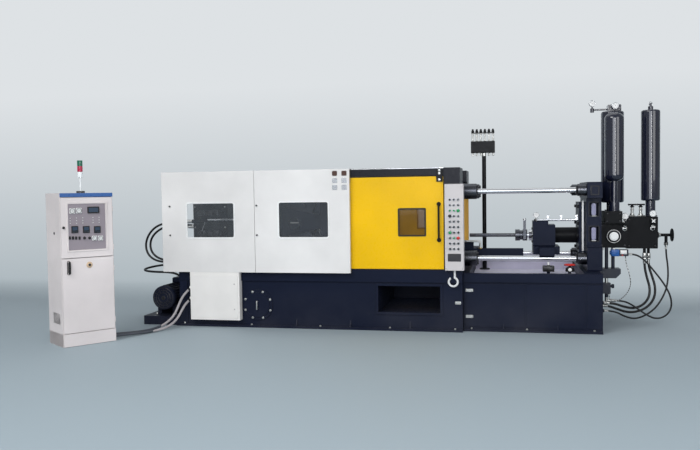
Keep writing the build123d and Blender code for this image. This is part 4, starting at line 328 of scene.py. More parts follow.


# Paints: colour, gloss from and to, bare metal under it, wear, dust, and where given coat, grain, specular; a pale
# bare metal with full wear paints highlights on edges
NAVY = (0.0075, 0.011, 0.0265)
BLACK_LOOK = paint_look((0.006, 0.0065, 0.008), (0.25, 0.4), (0.1, 0.1, 0.1), 0.3, 0.05, specular=0.15)
DOOR_LOOK = paint_look((0.83, 0.485, 0.0), (0.24, 0.38), (0.4, 0.24, 0.06), 0.25, 0.08, specular=0.2)
IRON_LOOK = paint_look((0.0065, 0.007, 0.0085), (0.3, 0.48), (0.16, 0.16, 0.16), 0.5, 0.03, specular=0.09)
CONDUIT_LOOK = paint_look((0.42, 0.39, 0.4), (0.4, 0.55), (0.3, 0.3, 0.3), 0.1, 0.15)
CONDUIT_DARK_LOOK = paint_look((0.045, 0.055, 0.075), (0.35, 0.5), (0.2, 0.2, 0.2), 0.1, 0.1)
ACCUMULATOR_LOOK = paint_look((0.008, 0.01, 0.024), (0.12, 0.2), (0.1, 0.1, 0.1), 0.15, 0.0, 1.0, 0.04)
DRAIN_LOOK = paint_look(NAVY, (0.3, 0.44), (0.1, 0.1, 0.11), 0.3, 0.0)
CHROME_LOOK = metal_look((0.72, 0.73, 0.75), (0.1, 0.2), 0.08, (60, 1, 1))
DARK_STEEL_LOOK = metal_look((0.1, 0.105, 0.12), (0.2, 0.34), 0.3, (40, 1, 1))
ZINC_LOOK = metal_look((0.6, 0.6, 0.58), (0.25, 0.42), 0.25)
LOOKS = {
    "door_paint": DOOR_LOOK, "black_iron": IRON_LOOK, "chrome_rod": CHROME_LOOK, "zinc_fasteners": ZINC_LOOK,
    "accumulator_paint": ACCUMULATOR_LOOK, "conduit_plastic": CONDUIT_LOOK,
    "blacked_screws": metal_look((0.05, 0.05, 0.055), (0.3, 0.45)),
    "brass_fittings": metal_look((0.6, 0.42, 0.16), (0.22, 0.38), 0.25),
    "plain_steel": metal_look((0.55, 0.56, 0.58), (0.2, 0.34)),
}
PAINTS = {
    "base_paint": (NAVY, (0.3, 0.44), (0.1, 0.1, 0.11), 0.35, 0.06, 0.0, 0.12, 0.1),
    "frame_paint": ((0.0085, 0.0095, 0.015), (0.26, 0.4), (0.14, 0.14, 0.17), 0.4, 0.05, 0.0, 0.12, 0.2),
    "guard_paint": ((0.745, 0.73, 0.715), (0.36, 0.5), (0.5, 0.48, 0.45), 0.12, 0.1),
    "panel_paint": ((0.56, 0.53, 0.53), (0.34, 0.48), (0.45, 0.43, 0.4), 0.15, 0.15),
    "hook_paint": ((0.7, 0.7, 0.7), (0.3, 0.5), (0.2, 0.18, 0.16), 0.3, 0.1),
    "cabinet_paint": ((0.78, 0.715, 0.705), (0.38, 0.5), (0.45, 0.42, 0.4), 0.08, 0.08),
    # Toggle links: a pale bare metal and full wear, so their worn edges are also painted highlights inside the guard
    "link_iron": ((0.03, 0.038, 0.06), (0.35, 0.5), (0.6, 0.61, 0.65), 1.0, 0.0),
    "hose_rubber": ((0.006, 0.006, 0.007), (0.36, 0.5), (0.04, 0.04, 0.04), 0.1, 0.05, 0.0, 0.5),
    # Junction box: the panel paint made lighter, painted light against the shade under the guard
    "box_painted_light": ((0.84, 0.815, 0.785), (0.34, 0.48), (0.45, 0.43, 0.4), 0.15, 0.05),
    # Rear end panel: the door orange made brighter, painted light that offsets the shade it stands in
    "rear_panel_painted_light": ((1.0, 0.55, 0.09), (0.3, 0.42), (0.4, 0.24, 0.06), 0.2, 0.0),
    # Pale lilac for the oil tray sheet: painted sheen, brighter than a real paint to make up for the tray's shade
    "tray_sheen_paint": ((0.86, 0.83, 0.98), (0.35, 0.5), (0.5, 0.5, 0.55), 0.2, 0.0),
    "lilac_insert": ((0.25, 0.25, 0.38), (0.3, 0.45), (0.5, 0.5, 0.55), 0.3, 0.0),
    "white_rim": ((0.83, 0.83, 0.82), (0.22, 0.32), (0.6, 0.6, 0.6), 0.08, 0.0),
    "blue_trim": ((0.045, 0.133, 0.375), (0.26, 0.36), (0.2, 0.25, 0.3), 0.15, 0.0),
    "black_plastic": ((0.009, 0.009, 0.01), (0.25, 0.38), (0.05, 0.05, 0.05), 0.15, 0.0),
    "green_plastic": ((0.01, 0.25, 0.07), (0.2, 0.3), (0.03, 0.2, 0.05), 0.1, 0.0),
    "red_plastic": ((0.55, 0.02, 0.015), (0.2, 0.3), (0.3, 0.05, 0.04), 0.1, 0.0),
    "blue_plastic": ((0.012, 0.09, 0.33), (0.2, 0.3), (0.05, 0.1, 0.2), 0.1, 0.0),
    "dial_white": ((0.8, 0.8, 0.79), (0.3, 0.4), (0.6, 0.6, 0.6), 0.0, 0.0),
    "screen_blue": ((0.045, 0.07, 0.11), (0.08, 0.14), (0.05, 0.05, 0.05), 0.0, 0.0, 0.5, 0.0),
    "meter_panel": ((0.31, 0.27, 0.3), (0.36, 0.48), (0.3, 0.3, 0.3), 0.05, 0.0),
    "louvre_grey": ((0.4, 0.38, 0.38), (0.4, 0.5), (0.3, 0.3, 0.3), 0.1, 0.1),
    "lock_beige": ((0.62, 0.45, 0.3), (0.3, 0.4), (0.4, 0.3, 0.2), 0.1, 0.0),
    "brown_plate": ((0.07, 0.03, 0.02), (0.3, 0.4), (0.2, 0.15, 0.1), 0.1, 0.0),
    "gasket_rubber": ((0.01, 0.01, 0.01), (0.5, 0.65), (0.04, 0.04, 0.04), 0.1, 0.0, 0.0, 0.4),
}
LOOKS.update((name, paint_look(*values)) for name, values in PAINTS.items())
MATERIALS = {name: dressed(name, look) for name, look in LOOKS.items()}
MATERIALS["guard_glazing"] = clear_pane("guard_glazing", (0.5, 0.55, 0.6), 0.05, 0.04, 0.2)
MATERIALS["door_glazing"] = clear_pane("door_glazing", (0.16, 0.08, 0.02), 0.45, 0.05, 0.5)
MATERIALS["lamp_plastic"] = lamp_lenses()
# Nodes whose parts wear different finishes
MACHINE_FINISHES = {
    "junction_box": MATERIALS["box_painted_light"],
    # The rear end panel wears the brightened orange, painted light
    "rear_end_panel": MATERIALS["rear_panel_painted_light"],
    "tie_bars": zoned("tie_bar_steel", CHROME_LOOK, DARK_STEEL_LOOK, [("X", 0.8, 1.1)], [("X", -2.0, -1.395)]),
    "injection_rods": zoned("injection_rod_steel", CHROME_LOOK, DARK_STEEL_LOOK, [("X", 2.017, 2.4)]),
    "plunger_rod": zoned("plunger_steel", DARK_STEEL_LOOK, CHROME_LOOK, [("X", 1.5235, 2.3), ("Y", -0.05, 0.05)],
                         [("Z", 1.1035, 1.2)]),
    "front_door": zoned("front_door_paint", DOOR_LOOK, BLACK_LOOK, [("Y", -1.2, -0.8203)], [("Z", 1.5823, 1.8)]),
    "rear_door": zoned("rear_door_paint", DOOR_LOOK, BLACK_LOOK, [("Y", 0.8203, 1.2)], [("Z", 1.5823, 1.8)]),
    "lubricant_distributor": zoned("distributor_paint", BLACK_LOOK, ZINC_LOOK, [("Z", 2.0145, 2.1095)],
                                   [("Z", 1.84, 1.8775)]),
    "large_accumulator": zoned("large_accumulator_paint", ACCUMULATOR_LOOK, ZINC_LOOK,
                               [("Z", 2.335, 2.5), ("Y", -0.1, 0.1)], [("Z", 1.205, 1.262)]),
    "drain_valve": zoned("drain_valve_paint", DRAIN_LOOK, ZINC_LOOK, [("Z", 0.2, 0.2885)],
                         [("Z", 0.4415, 0.4938)]),
    "clamp_valve_block": zoned("clamp_valve_iron", IRON_LOOK, ZINC_LOOK, [("X", -2.3, -2.1965)]),
    "accumulator_valve_block": zoned("stop_valve_iron", IRON_LOOK, ZINC_LOOK,
                                     [("Z", 1.155, 1.232), ("X", 2.56, 2.73)]),
}
for subpart in frame["record"]["subparts"]:
    cad_mesh = frame["nodes"][subpart["node"]].data
    cad_mesh.materials.clear()
    cad_mesh.materials.append(MACHINE_FINISHES.get(subpart["node"], MATERIALS[subpart["material_slot"]]))


# Shapes
def at(place, axis=UP):
    return Matrix.Translation(Vector(place)) @ Vector(UP).rotation_difference(Vector(axis)).to_matrix().to_4x4()


def slab(bm, low, high, edge=0.0, segments=2):
    """A block between two corners with rounded edges."""
    low, high = Vector(low), Vector(high)
    size = Matrix.Diagonal((*(high - low), 1))
    made = bmesh.ops.create_cube(bm, size=1, matrix=Matrix.Translation((low + high) / 2) @ size)["verts"]
    if edge:
        edges = list({e for v in made for e in v.link_edges})
        bmesh.ops.bevel(bm, geom=edges, offset=edge, segments=segments, profile=0.5, affect="EDGES", material=-1)


def rod(bm, base, axis, radius, length, sides=20, edge=0.0):
    """A bar from a base point, round or with few sides."""
    middle = Vector(base) + Vector(axis).normalized() * length / 2
    made = bmesh.ops.create_cone(bm, cap_ends=True, segments=sides, radius1=radius, radius2=radius, depth=length,
                                 matrix=at(middle, axis))["verts"]
    if edge:
        rims = list({e for v in made for e in v.link_edges if any(len(f.verts) > 4 for f in e.link_faces)})
        bmesh.ops.bevel(bm, geom=rims, offset=edge, segments=2, profile=0.5, affect="EDGES", material=-1)


def turn_round(bm, geom, centre, axis, sides):
    bmesh.ops.spin(bm, geom=geom, cent=Vector(centre), axis=Vector(axis).normalized(), dvec=(0, 0, 0),
                   angle=2 * math.pi, steps=sides, use_merge=True, use_duplicate=False)


def lathe(bm, base, axis, outline, sides=28):
    """An outline of (radius, height) turned about an axis."""
    place = at(base, axis)
    verts = [bm.verts.new(place @ Vector((radius, 0, height))) for radius, height in outline]
    edges = [bm.edges.new(pair) for pair in zip(verts, verts[1:])]
    turn_round(bm, verts + edges, base, axis, sides)
    bmesh.ops.remove_doubles(bm, verts=bm.verts, dist=1e-6)


def hoop(bm, centre, axis, radius, thickness, sides=36, around=10):
    """A round ring: a small circle turned about an axis."""
    circle = bmesh.ops.create_circle(bm, cap_ends=False, radius=thickness, segments=around,
                                     matrix=at(centre, axis) @ Matrix.Translation((radius, 0, 0))
                                     @ Matrix.Rotation(math.pi / 2, 4, "X"))["verts"]
    turn_round(bm, circle + list({e for v in circle for e in v.link_edges}), centre, axis, sides)


def ball(bm, centre, radius, subdivisions=2):
    bmesh.ops.create_icosphere(bm, subdivisions=subdivisions, radius=radius, matrix=Matrix.Translation(centre))


def bent_pipe(bm, points, radius):
    """Straight lengths of pipe with a round corner at each bend."""
    for start, end in zip(points, points[1:]):
        way = Vector(end) - Vector(start)
        rod(bm, start, way, radius, way.length, 14)
    for corner in points[1:-1]:
        ball(bm, corner, radius)


def hex_head(bm, base, axis, across, height):
    """A hexagon head on its washer."""
    rod(bm, base, axis, across * 0.68, height * 0.16, 20)
    tip = Vector(base) + Vector(axis).normalized() * height * 0.16
    rod(bm, tip, axis, across * 0.577, height * 0.84, 6, across * 0.05)


def cap_screw(bm, base, axis, radius):
    """A socket head screw: a round head with a sunk socket."""
    lathe(bm, base, axis, [(radius * across, radius * height) for across, height in (
        (1, 0), (1, 1.1), (0.88, 1.3), (0.5, 1.3), (0.5, 0.7), (0, 0.7))], 18)


def around(centre, axis, radius, count, first=0.0):
    """Points evenly round a circle."""
    place = at(centre, axis)
    return [place @ Vector((radius * math.cos(a), radius * math.sin(a), 0))
            for a in (first + 2 * math.pi * i / count for i in range(count))]


def plate_on(bm, centre, across, width, height, radius, thickness, hole=None, segments=5):
    """An upright round-cornered plate standing out of a face, with a round-cornered hole if given."""
    across, up = Vector(across), Vector(UP)
    verts = [bm.verts.new(Vector(centre) + across * sx * width / 2 + up * sy * height / 2)
             for sx, sy in ((-1, -1), (1, -1), (1, 1), (-1, 1))]
    face = bm.faces.new(verts)
    before = set(bm.faces) - {face}
    bmesh.ops.bevel(bm, geom=verts, offset=radius, segments=segments, profile=0.5, affect="VERTICES", material=-1)
    face = next(f for f in bm.faces if f not in before)
    front = [face]
    if hole:
        front = bmesh.ops.inset_region(bm, faces=[face], thickness=hole, use_even_offset=True,
                                       use_boundary=True)["faces"]
        bmesh.ops.delete(bm, geom=[face], context="FACES")
    lifted = bmesh.ops.extrude_face_region(bm, geom=front)["geom"]
    bmesh.ops.translate(bm, vec=across.cross(up).normalized() * thickness,
                        verts=[v for v in lifted if isinstance(v, bmesh.types.BMVert)])


def build(name, finish, *steps, body="machine", slot=None):
    """A piece that rides on a body, from shapes given as a maker and the maker's values."""
    bm = bmesh.new()
    for maker, *values in steps:
        maker(bm, *values)
    bmesh.ops.remove_doubles(bm, verts=bm.verts, dist=1e-6)
    bmesh.ops.recalc_face_normals(bm, faces=bm.faces)
    for face in bm.faces:
        face.smooth = True
    for edge in bm.edges:
        if len(edge.link_faces) == 2 and edge.calc_face_angle(0) > SHARP_ANGLE:
            edge.smooth = False
    mesh = bpy.data.meshes.new(name)
    bm.to_mesh(mesh)
    bm.free()
    mesh.materials.append(MATERIALS[finish])
    made = put(name, mesh)
    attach(made, body)
    return made


# Hoses, a cable and conduits: diameter, length and the line from end to end
CORDS = {
    "pressure_hose": (0.018, 1.450, [
        (2.546, -0.155, 0.745), (2.6, -0.155, 0.745), (2.66, -0.158, 0.724),
        (2.722, -0.163, 0.672), (2.792, -0.17, 0.585), (2.862, -0.178, 0.492),
        (2.925, -0.184, 0.395), (2.966, -0.188, 0.295), (2.97, -0.19, 0.2), (2.932, -0.194, 0.124),
        (2.862, -0.21, 0.085), (2.785, -0.234, 0.088), (2.712, -0.252, 0.126),
        (2.642, -0.246, 0.176), (2.574, -0.21, 0.224), (2.502, -0.14, 0.252), (2.41, -0.14, 0.252)]),
    "main_hose_front": (0.025, 0.984, [
        (2.725, -0.06, 0.7), (2.725, -0.06, 0.61), (2.748, -0.064, 0.495), (2.778, -0.08, 0.385),
        (2.765, -0.105, 0.285), (2.7, -0.15, 0.212), (2.6, -0.2, 0.18), (2.49, -0.252, 0.205),
        (2.385, -0.292, 0.248), (2.285, -0.292, 0.248)]),
    "main_hose_rear": (0.025, 1.070, [
        (2.785, 0.06, 0.69), (2.785, 0.06, 0.605), (2.82, 0.045, 0.495), (2.85, 0.02, 0.38),
        (2.835, -0.015, 0.268), (2.765, -0.055, 0.18), (2.66, -0.09, 0.132), (2.545, -0.12, 0.125),
        (2.43, -0.148, 0.168), (2.35, -0.168, 0.2), (2.285, -0.168, 0.2)]),
    "pilot_hose": (0.018, 1.336, [
        (2.95, 0, 0.83), (2.95, 0, 0.742), (2.966, -0.012, 0.62), (2.968, -0.028, 0.498),
        (2.948, -0.05, 0.375), (2.895, -0.075, 0.262), (2.82, -0.108, 0.165),
        (2.72, -0.155, 0.102), (2.61, -0.21, 0.072), (2.5, -0.275, 0.105), (2.39, -0.33, 0.172),
        (2.285, -0.33, 0.172)]),
    "signal_cable": (0.008, 0.666, [
        (2.52, -0.172, 0.727), (2.52, -0.172, 0.69), (2.53, -0.18, 0.632), (2.548, -0.19, 0.57),
        (2.562, -0.196, 0.51), (2.568, -0.198, 0.455), (2.562, -0.197, 0.405),
        (2.545, -0.195, 0.36), (2.518, -0.192, 0.32), (2.484, -0.188, 0.284),
        (2.446, -0.182, 0.256), (2.408, -0.176, 0.25), (2.374, -0.171, 0.262),
        (2.356, -0.168, 0.292), (2.356, -0.168, 0.329)]),
    "clamp_hose_outer": (0.025, 1.658, [
        (-2.23, -0.24, 1.075), (-2.33, -0.24, 1.075), (-2.485, -0.222, 1.105),
        (-2.64, -0.198, 1.105), (-2.78, -0.174, 1.065), (-2.88, -0.158, 0.98),
        (-2.93, -0.152, 0.88), (-2.93, -0.155, 0.785), (-2.882, -0.168, 0.705),
        (-2.79, -0.188, 0.655), (-2.66, -0.21, 0.638), (-2.5, -0.232, 0.65), (-2.34, -0.24, 0.672),
        (-2.23, -0.24, 0.672)]),
    "clamp_hose_inner": (0.025, 1.367, [
        (-2.23, -0.345, 1.06), (-2.33, -0.345, 1.06), (-2.455, -0.335, 1.078),
        (-2.59, -0.315, 1.068), (-2.705, -0.298, 1.015), (-2.785, -0.288, 0.94),
        (-2.812, -0.283, 0.85), (-2.792, -0.286, 0.765), (-2.722, -0.296, 0.702),
        (-2.605, -0.312, 0.668), (-2.455, -0.335, 0.672), (-2.33, -0.345, 0.69),
        (-2.23, -0.345, 0.69)]),
    "return_hose": (0.025, 1.582, [
        (-2.23, -0.19, 0.634), (-2.325, -0.19, 0.634), (-2.44, -0.184, 0.626),
        (-2.56, -0.17, 0.616), (-2.68, -0.158, 0.604), (-2.778, -0.182, 0.592),
        (-2.836, -0.252, 0.58), (-2.853, -0.345, 0.57), (-2.812, -0.43, 0.562),
        (-2.728, -0.478, 0.556), (-2.618, -0.49, 0.552), (-2.51, -0.478, 0.55),
        (-2.416, -0.464, 0.538), (-2.338, -0.453, 0.49), (-2.288, -0.446, 0.414),
        (-2.266, -0.442, 0.33), (-2.266, -0.442, 0.25)]),
    "conduit_upper": (0.026, 1.152, [
        (-2.0589, -0.85, 0.4179), (-2.1201, -0.85, 0.3664), (-2.168, -0.858, 0.296),
        (-2.202, -0.872, 0.212), (-2.228, -0.908, 0.134), (-2.26, -0.974, 0.076),
        (-2.302, -1.064, 0.038), (-2.352, -1.16, 0.021), (-2.396, -1.258, 0.018),
        (-2.458, -1.348, 0.02), (-2.516, -1.43, 0.026), (-2.5746, -1.5075, 0.03),
        (-2.6258, -1.5754, 0.03)]),
    "conduit_lower": (0.026, 1.079, [
        (-2.0589, -0.85, 0.3019), (-2.1171, -0.85, 0.253), (-2.156, -0.868, 0.182),
        (-2.18, -0.914, 0.11), (-2.202, -0.99, 0.058), (-2.23, -1.088, 0.03),
        (-2.272, -1.19, 0.018), (-2.324, -1.29, 0.016), (-2.38, -1.385, 0.018),
        (-2.434, -1.48, 0.024), (-2.4932, -1.5689, 0.03), (-2.5443, -1.6368, 0.03)]),
}


def crimp(bm, start, towards, diameter):
    """A crimped hose end: hexagon nut, collar and grooved sleeve."""
    axis = (Vector(towards) - Vector(start)).normalized()
    rod(bm, start, axis, diameter * 0.78, diameter * 0.7, 6, diameter * 0.04)
    radius = diameter * 0.62
    outline = [(0, diameter * 0.6), (radius, diameter * 0.62)]
    for groove in range(4):
        height = diameter * (0.9 + groove * 0.35)
        outline += [(radius, height), (radius * 0.93, height + diameter * 0.05),
                    (radius * 0.93, height + diameter * 0.12), (radius, height + diameter * 0.17)]
    outline += [(radius, diameter * 2.3), (diameter * 0.52, diameter * 2.4)]
    lathe(bm, start, axis, outline, 20)


def gland(bm, start, towards, diameter):
    """The end of a cable or conduit: hexagon nut and tapered collar."""
    axis = (Vector(towards) - Vector(start)).normalized()
    rod(bm, start, axis, diameter * 0.85, diameter * 0.5, 6, diameter * 0.03)
    lathe(bm, start, axis, [(diameter * 0.72, diameter * 0.5), (diameter * 0.72, diameter * 0.75),
                            (diameter * 0.52, diameter * 1.05)], 20)


CORD_FINISHES = {"signal_cable": braided_cable()}
for conduit in ("conduit_upper", "conduit_lower"):
    CORD_FINISHES[conduit] = zoned(conduit + "_plastic", CONDUIT_LOOK, CONDUIT_DARK_LOOK, [("X", -3.0, -2.3)])


def string_cord(name, diameter, length, route):
    slot = "conduit_plastic" if "conduit" in name else "hose_rubber"
    curve = bpy.data.curves.new(name + "_line", "CURVE")
    curve.dimensions = "3D"
    spline = curve.splines.new("NURBS")
    spline.points.add(len(route) - 1)
    for point, place in zip(spline.points, route):
        point.co = (*place, 1)
    spline.order_u = 3
    spline.use_endpoint_u = True
    curve.bevel_depth = diameter / 2
    curve.bevel_resolution = 4
    curve.resolution_u = 10
    curve.use_fill_caps = True
    curve.materials.append(CORD_FINISHES.get(name, MATERIALS[slot]))
    cord = put(name + "_line", curve)
    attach(cord, "machine")
    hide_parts(name)
    ending, finish, maker = ("_crimps", "zinc_fasteners", crimp)
    if "cable" in name or "conduit" in name:
        ending, finish, maker = ("_glands", "black_plastic", gland)
    fittings = build(name + ending, finish, (maker, route[0], route[1], diameter),
                     (maker, route[-1], route[-2], diameter))


for cord_name, cord_values in CORDS.items():
    string_cord(cord_name, *cord_values)

# Guards: window rims, panel screws, small plain plates on rivets
SIDES = ((FRONT, RIGHT), (REAR, LEFT))
WINDOW_LOW, WINDOW_HIGH = 0.971, 1.337
PLATE_X = (-0.428, -0.328)
rims = []
for out, across in SIDES:
    # The front rims lie on the panels, the rear ones flush in their openings
    face_y, wider, radius, thickness, hole = -GUARD_FACE, 0.03, 0.034, 0.004, 0.017
    if out == REAR:
        face_y, wider, radius, thickness, hole = GUARD_FACE - 0.0033, 0, 0.02, 0.0031, 0.012
    for x0, x1 in ((-2.066, -1.535), (-1.034, -0.503)):
        rims.append((plate_on, ((x0 + x1) / 2, face_y, (WINDOW_LOW + WINDOW_HIGH) / 2), across,
                     x1 - x0 + wider, WINDOW_HIGH - WINDOW_LOW + wider, radius, thickness, hole))
build("guard_window_rims", "white_rim", *rims, slot="guard_paint")
build("guard_panel_screws", "blacked_screws", *[
    (cap_screw, (x, -GUARD_FACE, z), FRONT, 0.009) for x in (-2.266, -1.279) for z in (1.307, 0.995)])
for name, finish, heights in (("guard_brown_plates", "brown_plate", (1.630,)),
                              ("guard_grey_plates", "plain_steel", (1.556, 1.486))):
    build(name, finish, *[(plate_on, (x, -GUARD_FACE, z), RIGHT, 0.054, 0.052, 0.003, 0.0015, None, 2)
                          for x in PLATE_X for z in heights])
build("guard_plate_rivets", "zinc_fasteners", *[
    (lathe, (x + dx, -GUARD_FACE - 0.0015, z + dz), FRONT, [(0.003, 0), (0.0024, 0.001), (0, 0.0015)], 10)
    for x in PLATE_X for z in (1.630, 1.556, 1.486) for dx in (-0.022, 0.022) for dz in (-0.021, 0.021)])

# Sliding doors: window gaskets, hanger bolts, handle roses, bright rail strips
for side, (out, across) in zip(("front", "rear"), SIDES):
    door, face_y = side + "_sliding_door", out[1] * DOOR_FACE
    build(side + "_door_gasket", "gasket_rubber",
          (plate_on, (0.361, face_y, 1.119), across, 0.288, 0.290, 0.014, 0.004, 0.016), body=door)
    build(side + "_door_hanger_bolts", "zinc_fasteners", *[
        (hex_head, (x, face_y + out[1] * 0.012, z), out, 0.019, 0.009)
        for x in (-0.301, 0.644) for z in (1.548, 1.612, 1.643)], body=door)
    build(side + "_door_handle_roses", "frame_paint", *[
        (lathe, (0.635, face_y, z), out, [(0.022, 0), (0.022, 0.004), (0.012, 0.009), (0.012, 0.02)], 24)
        for z in (0.938, 1.302)], body=door)
build("rail_bright_strips", "chrome_rod", *[
    (slab, (-0.27, y - 0.002, 1.6635), (0.688, y + 0.002, 1.6705), 0.001)
    for y in (-DOOR_FACE - 0.002, DOOR_FACE + 0.002)], slot="chrome_rod")

# Control panel: buttons, bezels, blank plate, face screws
BUTTONS = {(2, 0): "green", (2, 1): "green", (2, 2): "big green", (3, 0): "big black", (6, 0): "big green",
           (7, 1): "green", (7, 2): "big red"}
caps = {"black": [], "green": [], "red": []}
bezels = []
for row in range(10):
    for column, x in enumerate((0.751, 0.791, 0.833)):
        kind = BUTTONS.get((row, column), "black")
        radius, reach = (0.0165, 0.016) if "big" in kind else (0.0105, 0.013)
        place = (x, -GUARD_FACE, 1.345 - 0.0548 * row)
        bezels.append((lathe, place, FRONT, [(radius + 0.005, 0), (radius + 0.005, 0.004),
                                             (radius + 0.003, 0.006), (radius, 0.006)]))
        caps[kind.split()[-1]].append((lathe, place, FRONT, [
            (radius, 0.004), (radius, reach - 0.002), (radius * 0.85, reach), (0, reach + 0.0012)]))
for colour, shapes in caps.items():
    build("panel_buttons_" + colour, colour + "_plastic", *shapes)
build("panel_button_bezels", "plain_steel", *bezels)
build("panel_dark_plate", "blacked_screws",
      (plate_on, (0.792, -GUARD_FACE, 0.764), RIGHT, 0.132, 0.078, 0.004, 0.002, None, 2))
build("panel_face_screws", "zinc_fasteners", *[
    (cap_screw, (x, -GUARD_FACE, z), FRONT, 0.005) for x in (0.712, 0.871) for z in (0.655, 0.86, 1.07, 1.28, 1.48)])

# Junction box: its door and latches
build("junction_box_door", "box_painted_light",
      (plate_on, (-1.768, -GUARD_FACE, 0.335), RIGHT, 0.52, 0.46, 0.012, 0.004), slot="panel_paint")
build("junction_box_latches", "panel_paint", *[
    (lathe, (-1.545, -GUARD_FACE - 0.004, z), FRONT, [(0.008, 0), (0.008, 0.002), (0.005, 0.003), (0, 0.003)], 20)
    for z in (0.2, 0.47)])

# Round inspection cover: bolts and a handle
build("cover_bolts", "zinc_fasteners",
      *[(hex_head, place, FRONT, 0.019, 0.01) for place in around((-1.309, -0.8121, 0.243), FRONT, 0.15, 8, 0.39)],
      *[(rod, (-1.309, -0.822, z), FRONT, 0.006, 0.03, 16) for z in (0.205, 0.281)],
      (rod, (-1.309, -0.848, 0.195), UP, 0.007, 0.096, 16, 0.002))

# Base housings: panels with rounded corners, latches and foundation bolts
build("injection_base_panels", "base_paint", *[
    (plate_on, ((x0 + x1) / 2, out[1] * 0.720, 0.265), across, x1 - x0, 0.44, 0.012, 0.004)
    for out, across in SIDES for x0, x1 in ((0.885, 1.478), (1.500, 2.062), (2.084, 2.220))], slot="base_paint")
latches = []
for x, y, z, width in ((0.93, -0.724, 0.418, 0.075), (0.82, -0.8, 0.297, 0.06), (0.93, -0.724, 0.150, 0.075)):
    latches.append((plate_on, (x, y, z), RIGHT, width, 0.03, 0.006, 0.006, None, 3))
    latches += [(hex_head, (x + dx * width, y - 0.006, z), FRONT, 0.012, 0.006) for dx in (-0.3, 0.3)]
build("base_latches", "zinc_fasteners", *latches)
build("foundation_bolts", "zinc_fasteners", *[
    (hex_head, (x, sign * y, 0.025), UP, 0.018, 0.014) for sign in (-1, 1)
    for y, row in ((0.8135, (-2.15, -1.38, -0.62, 0.12, 0.79)), (0.7335, (0.95, 1.5, 2.15))) for x in row])

# Tie-bar nuts: clamping screws round each outer face
build("tie_bar_nut_screws", "blacked_screws", *[
    (cap_screw, place, out, radius) for y, z in TIE_BARS
    for x, out, ring, radius in ((0.998, RIGHT, 0.058, 0.011), (-1.45, LEFT, 0.066, 0.0095))
    for place in around((x, y, z), out, ring, 8, 0.2)])

# Injection end: flange bolts, rod ends, guide block screws, bore ring screws
build("injection_end_bolts", "blacked_screws",
      *[(hex_head, (2.05, y, z), LEFT, 0.03, 0.018) for y in (-0.165, 0.165) for z in (0.81, 0.94, 1.07, 1.25)],
      *[(rod, (2.018, y, z), LEFT, 0.046, 0.012, 32, 0.003) for y, z in TIE_BARS],
      *[(cap_screw, (x, y, 1.0955), UP, 0.011) for y in (-0.11, 0.11) for x in (1.61, 1.69)],
      *[(cap_screw, place, LEFT, 0.009) for place in around((1.58, 0, SHOT_AXIS), LEFT, 0.082, 6, 0.5)])


def dial_face(bm, centre, out, radius):
    lathe(bm, centre, out, [(radius, 0), (radius, 0.001), (0, 0.001)], 32)


def dial_marks(bm, centre, out, radius):
    """A gauge's ring of marks and its needle."""
    across = Vector(UP).cross(Vector(out)).normalized()
    lifted = Vector(centre) + Vector(out) * 0.001
    for step in range(11):
        angle = math.radians(225 - 27 * step)
        way = across * math.cos(angle) + Vector(UP) * math.sin(angle)
        rod(bm, lifted + way * radius * 0.7, way, radius * 0.025, radius * 0.2, 6)
    way = across * math.cos(1.9) + Vector(UP) * math.sin(1.9)
    rod(bm, lifted - way * radius * 0.2, way, radius * 0.03, radius * 0.85, 6)
    lathe(bm, lifted, out, [(radius * 0.1, 0), (radius * 0.1, 0.002), (0, 0.002)], 14)


GAUGES = (((2.513, -0.190, 1.145), 0.034), ((2.795, -0.140, 1.168), 0.034), ((2.433, -0.048, 2.310), 0.034),
          ((2.210, 0.046, 2.350), 0.033), ((1.615, -0.142, 1.161), 0.032))
build("gauge_faces", "dial_white", *[(dial_face, place, FRONT, size * 0.86) for place, size in GAUGES])
build("gauge_marks", "blacked_screws", *[(dial_marks, place, FRONT, size * 0.86) for place, size in GAUGES])
build("gauge_rims", "plain_steel", *[(hoop, place, FRONT, size * 0.93, size * 0.09) for place, size in GAUGES])


def nut(bm, base, axis, radius, length, edge=0.002):
    rod(bm, base, axis, radius, length, 6, edge)


# Fittings: the scale gauge's stem and case, hexagons of the valves and the hoses
STOP_VALVE_X = (2.602, 2.687)
fittings = [(rod, (1.615, -0.12, 1.0955), UP, 0.008, 0.05, 16, 0.001),
            (lathe, (1.615, -0.116, 1.161), FRONT, [(0, 0), (0.03, 0), (0.031, 0.003), (0.031, 0.026)], 32)]
for x in STOP_VALVE_X:
    fittings += [(nut, (x, -0.055, 1.135), UP, 0.034, 0.016, 0.003), (nut, (x, -0.055, 1.2), UP, 0.02, 0.014)]
for x, y, top in ((2.513, -0.15, 1.092), (2.795, -0.1, 1.1)):
    fittings += [(nut, (x, y - 0.004, 1.012), FRONT, 0.0245, 0.014),
                 (nut, (x, y - 0.026, 1.032), UP, 0.017, 0.016), (nut, (x, y - 0.026, top), UP, 0.016, 0.014)]
for x, y, z in ((2.725, -0.06, 0.7), (2.785, 0.06, 0.69)):
    fittings += [(nut, (x, y, z + 0.002), UP, 0.024, 0.022), (lathe, (x, y, z + 0.024), UP, [
        (0.0215, 0), (0.0215, 0.02), (0.019, 0.026), (0.0165, 0.03)], 24)]
fittings += [(nut, (2.95, 0, 0.832), UP, 0.0235, 0.018),
             (nut, (2.874, 0, SHOT_AXIS - 0.003), RIGHT, 0.026, 0.02)]
fittings += [(nut, (2.2315, y, z), RIGHT, 0.027, 0.016) for y, z in ((-0.292, 0.248), (-0.168, 0.2), (-0.33, 0.172))]
build("bright_fittings", "zinc_fasteners", *fittings)
whites = [(lathe, (2.403, -0.19, 0.934), FRONT, [
    (0.046, -0.004), (0.046, 0.002), (0.034, 0.004), (0.033, 0.007), (0, 0.008)], 36),
    (hoop, (2.403, -0.1765, 0.934), FRONT, 0.067, 0.0028, 40, 8)]
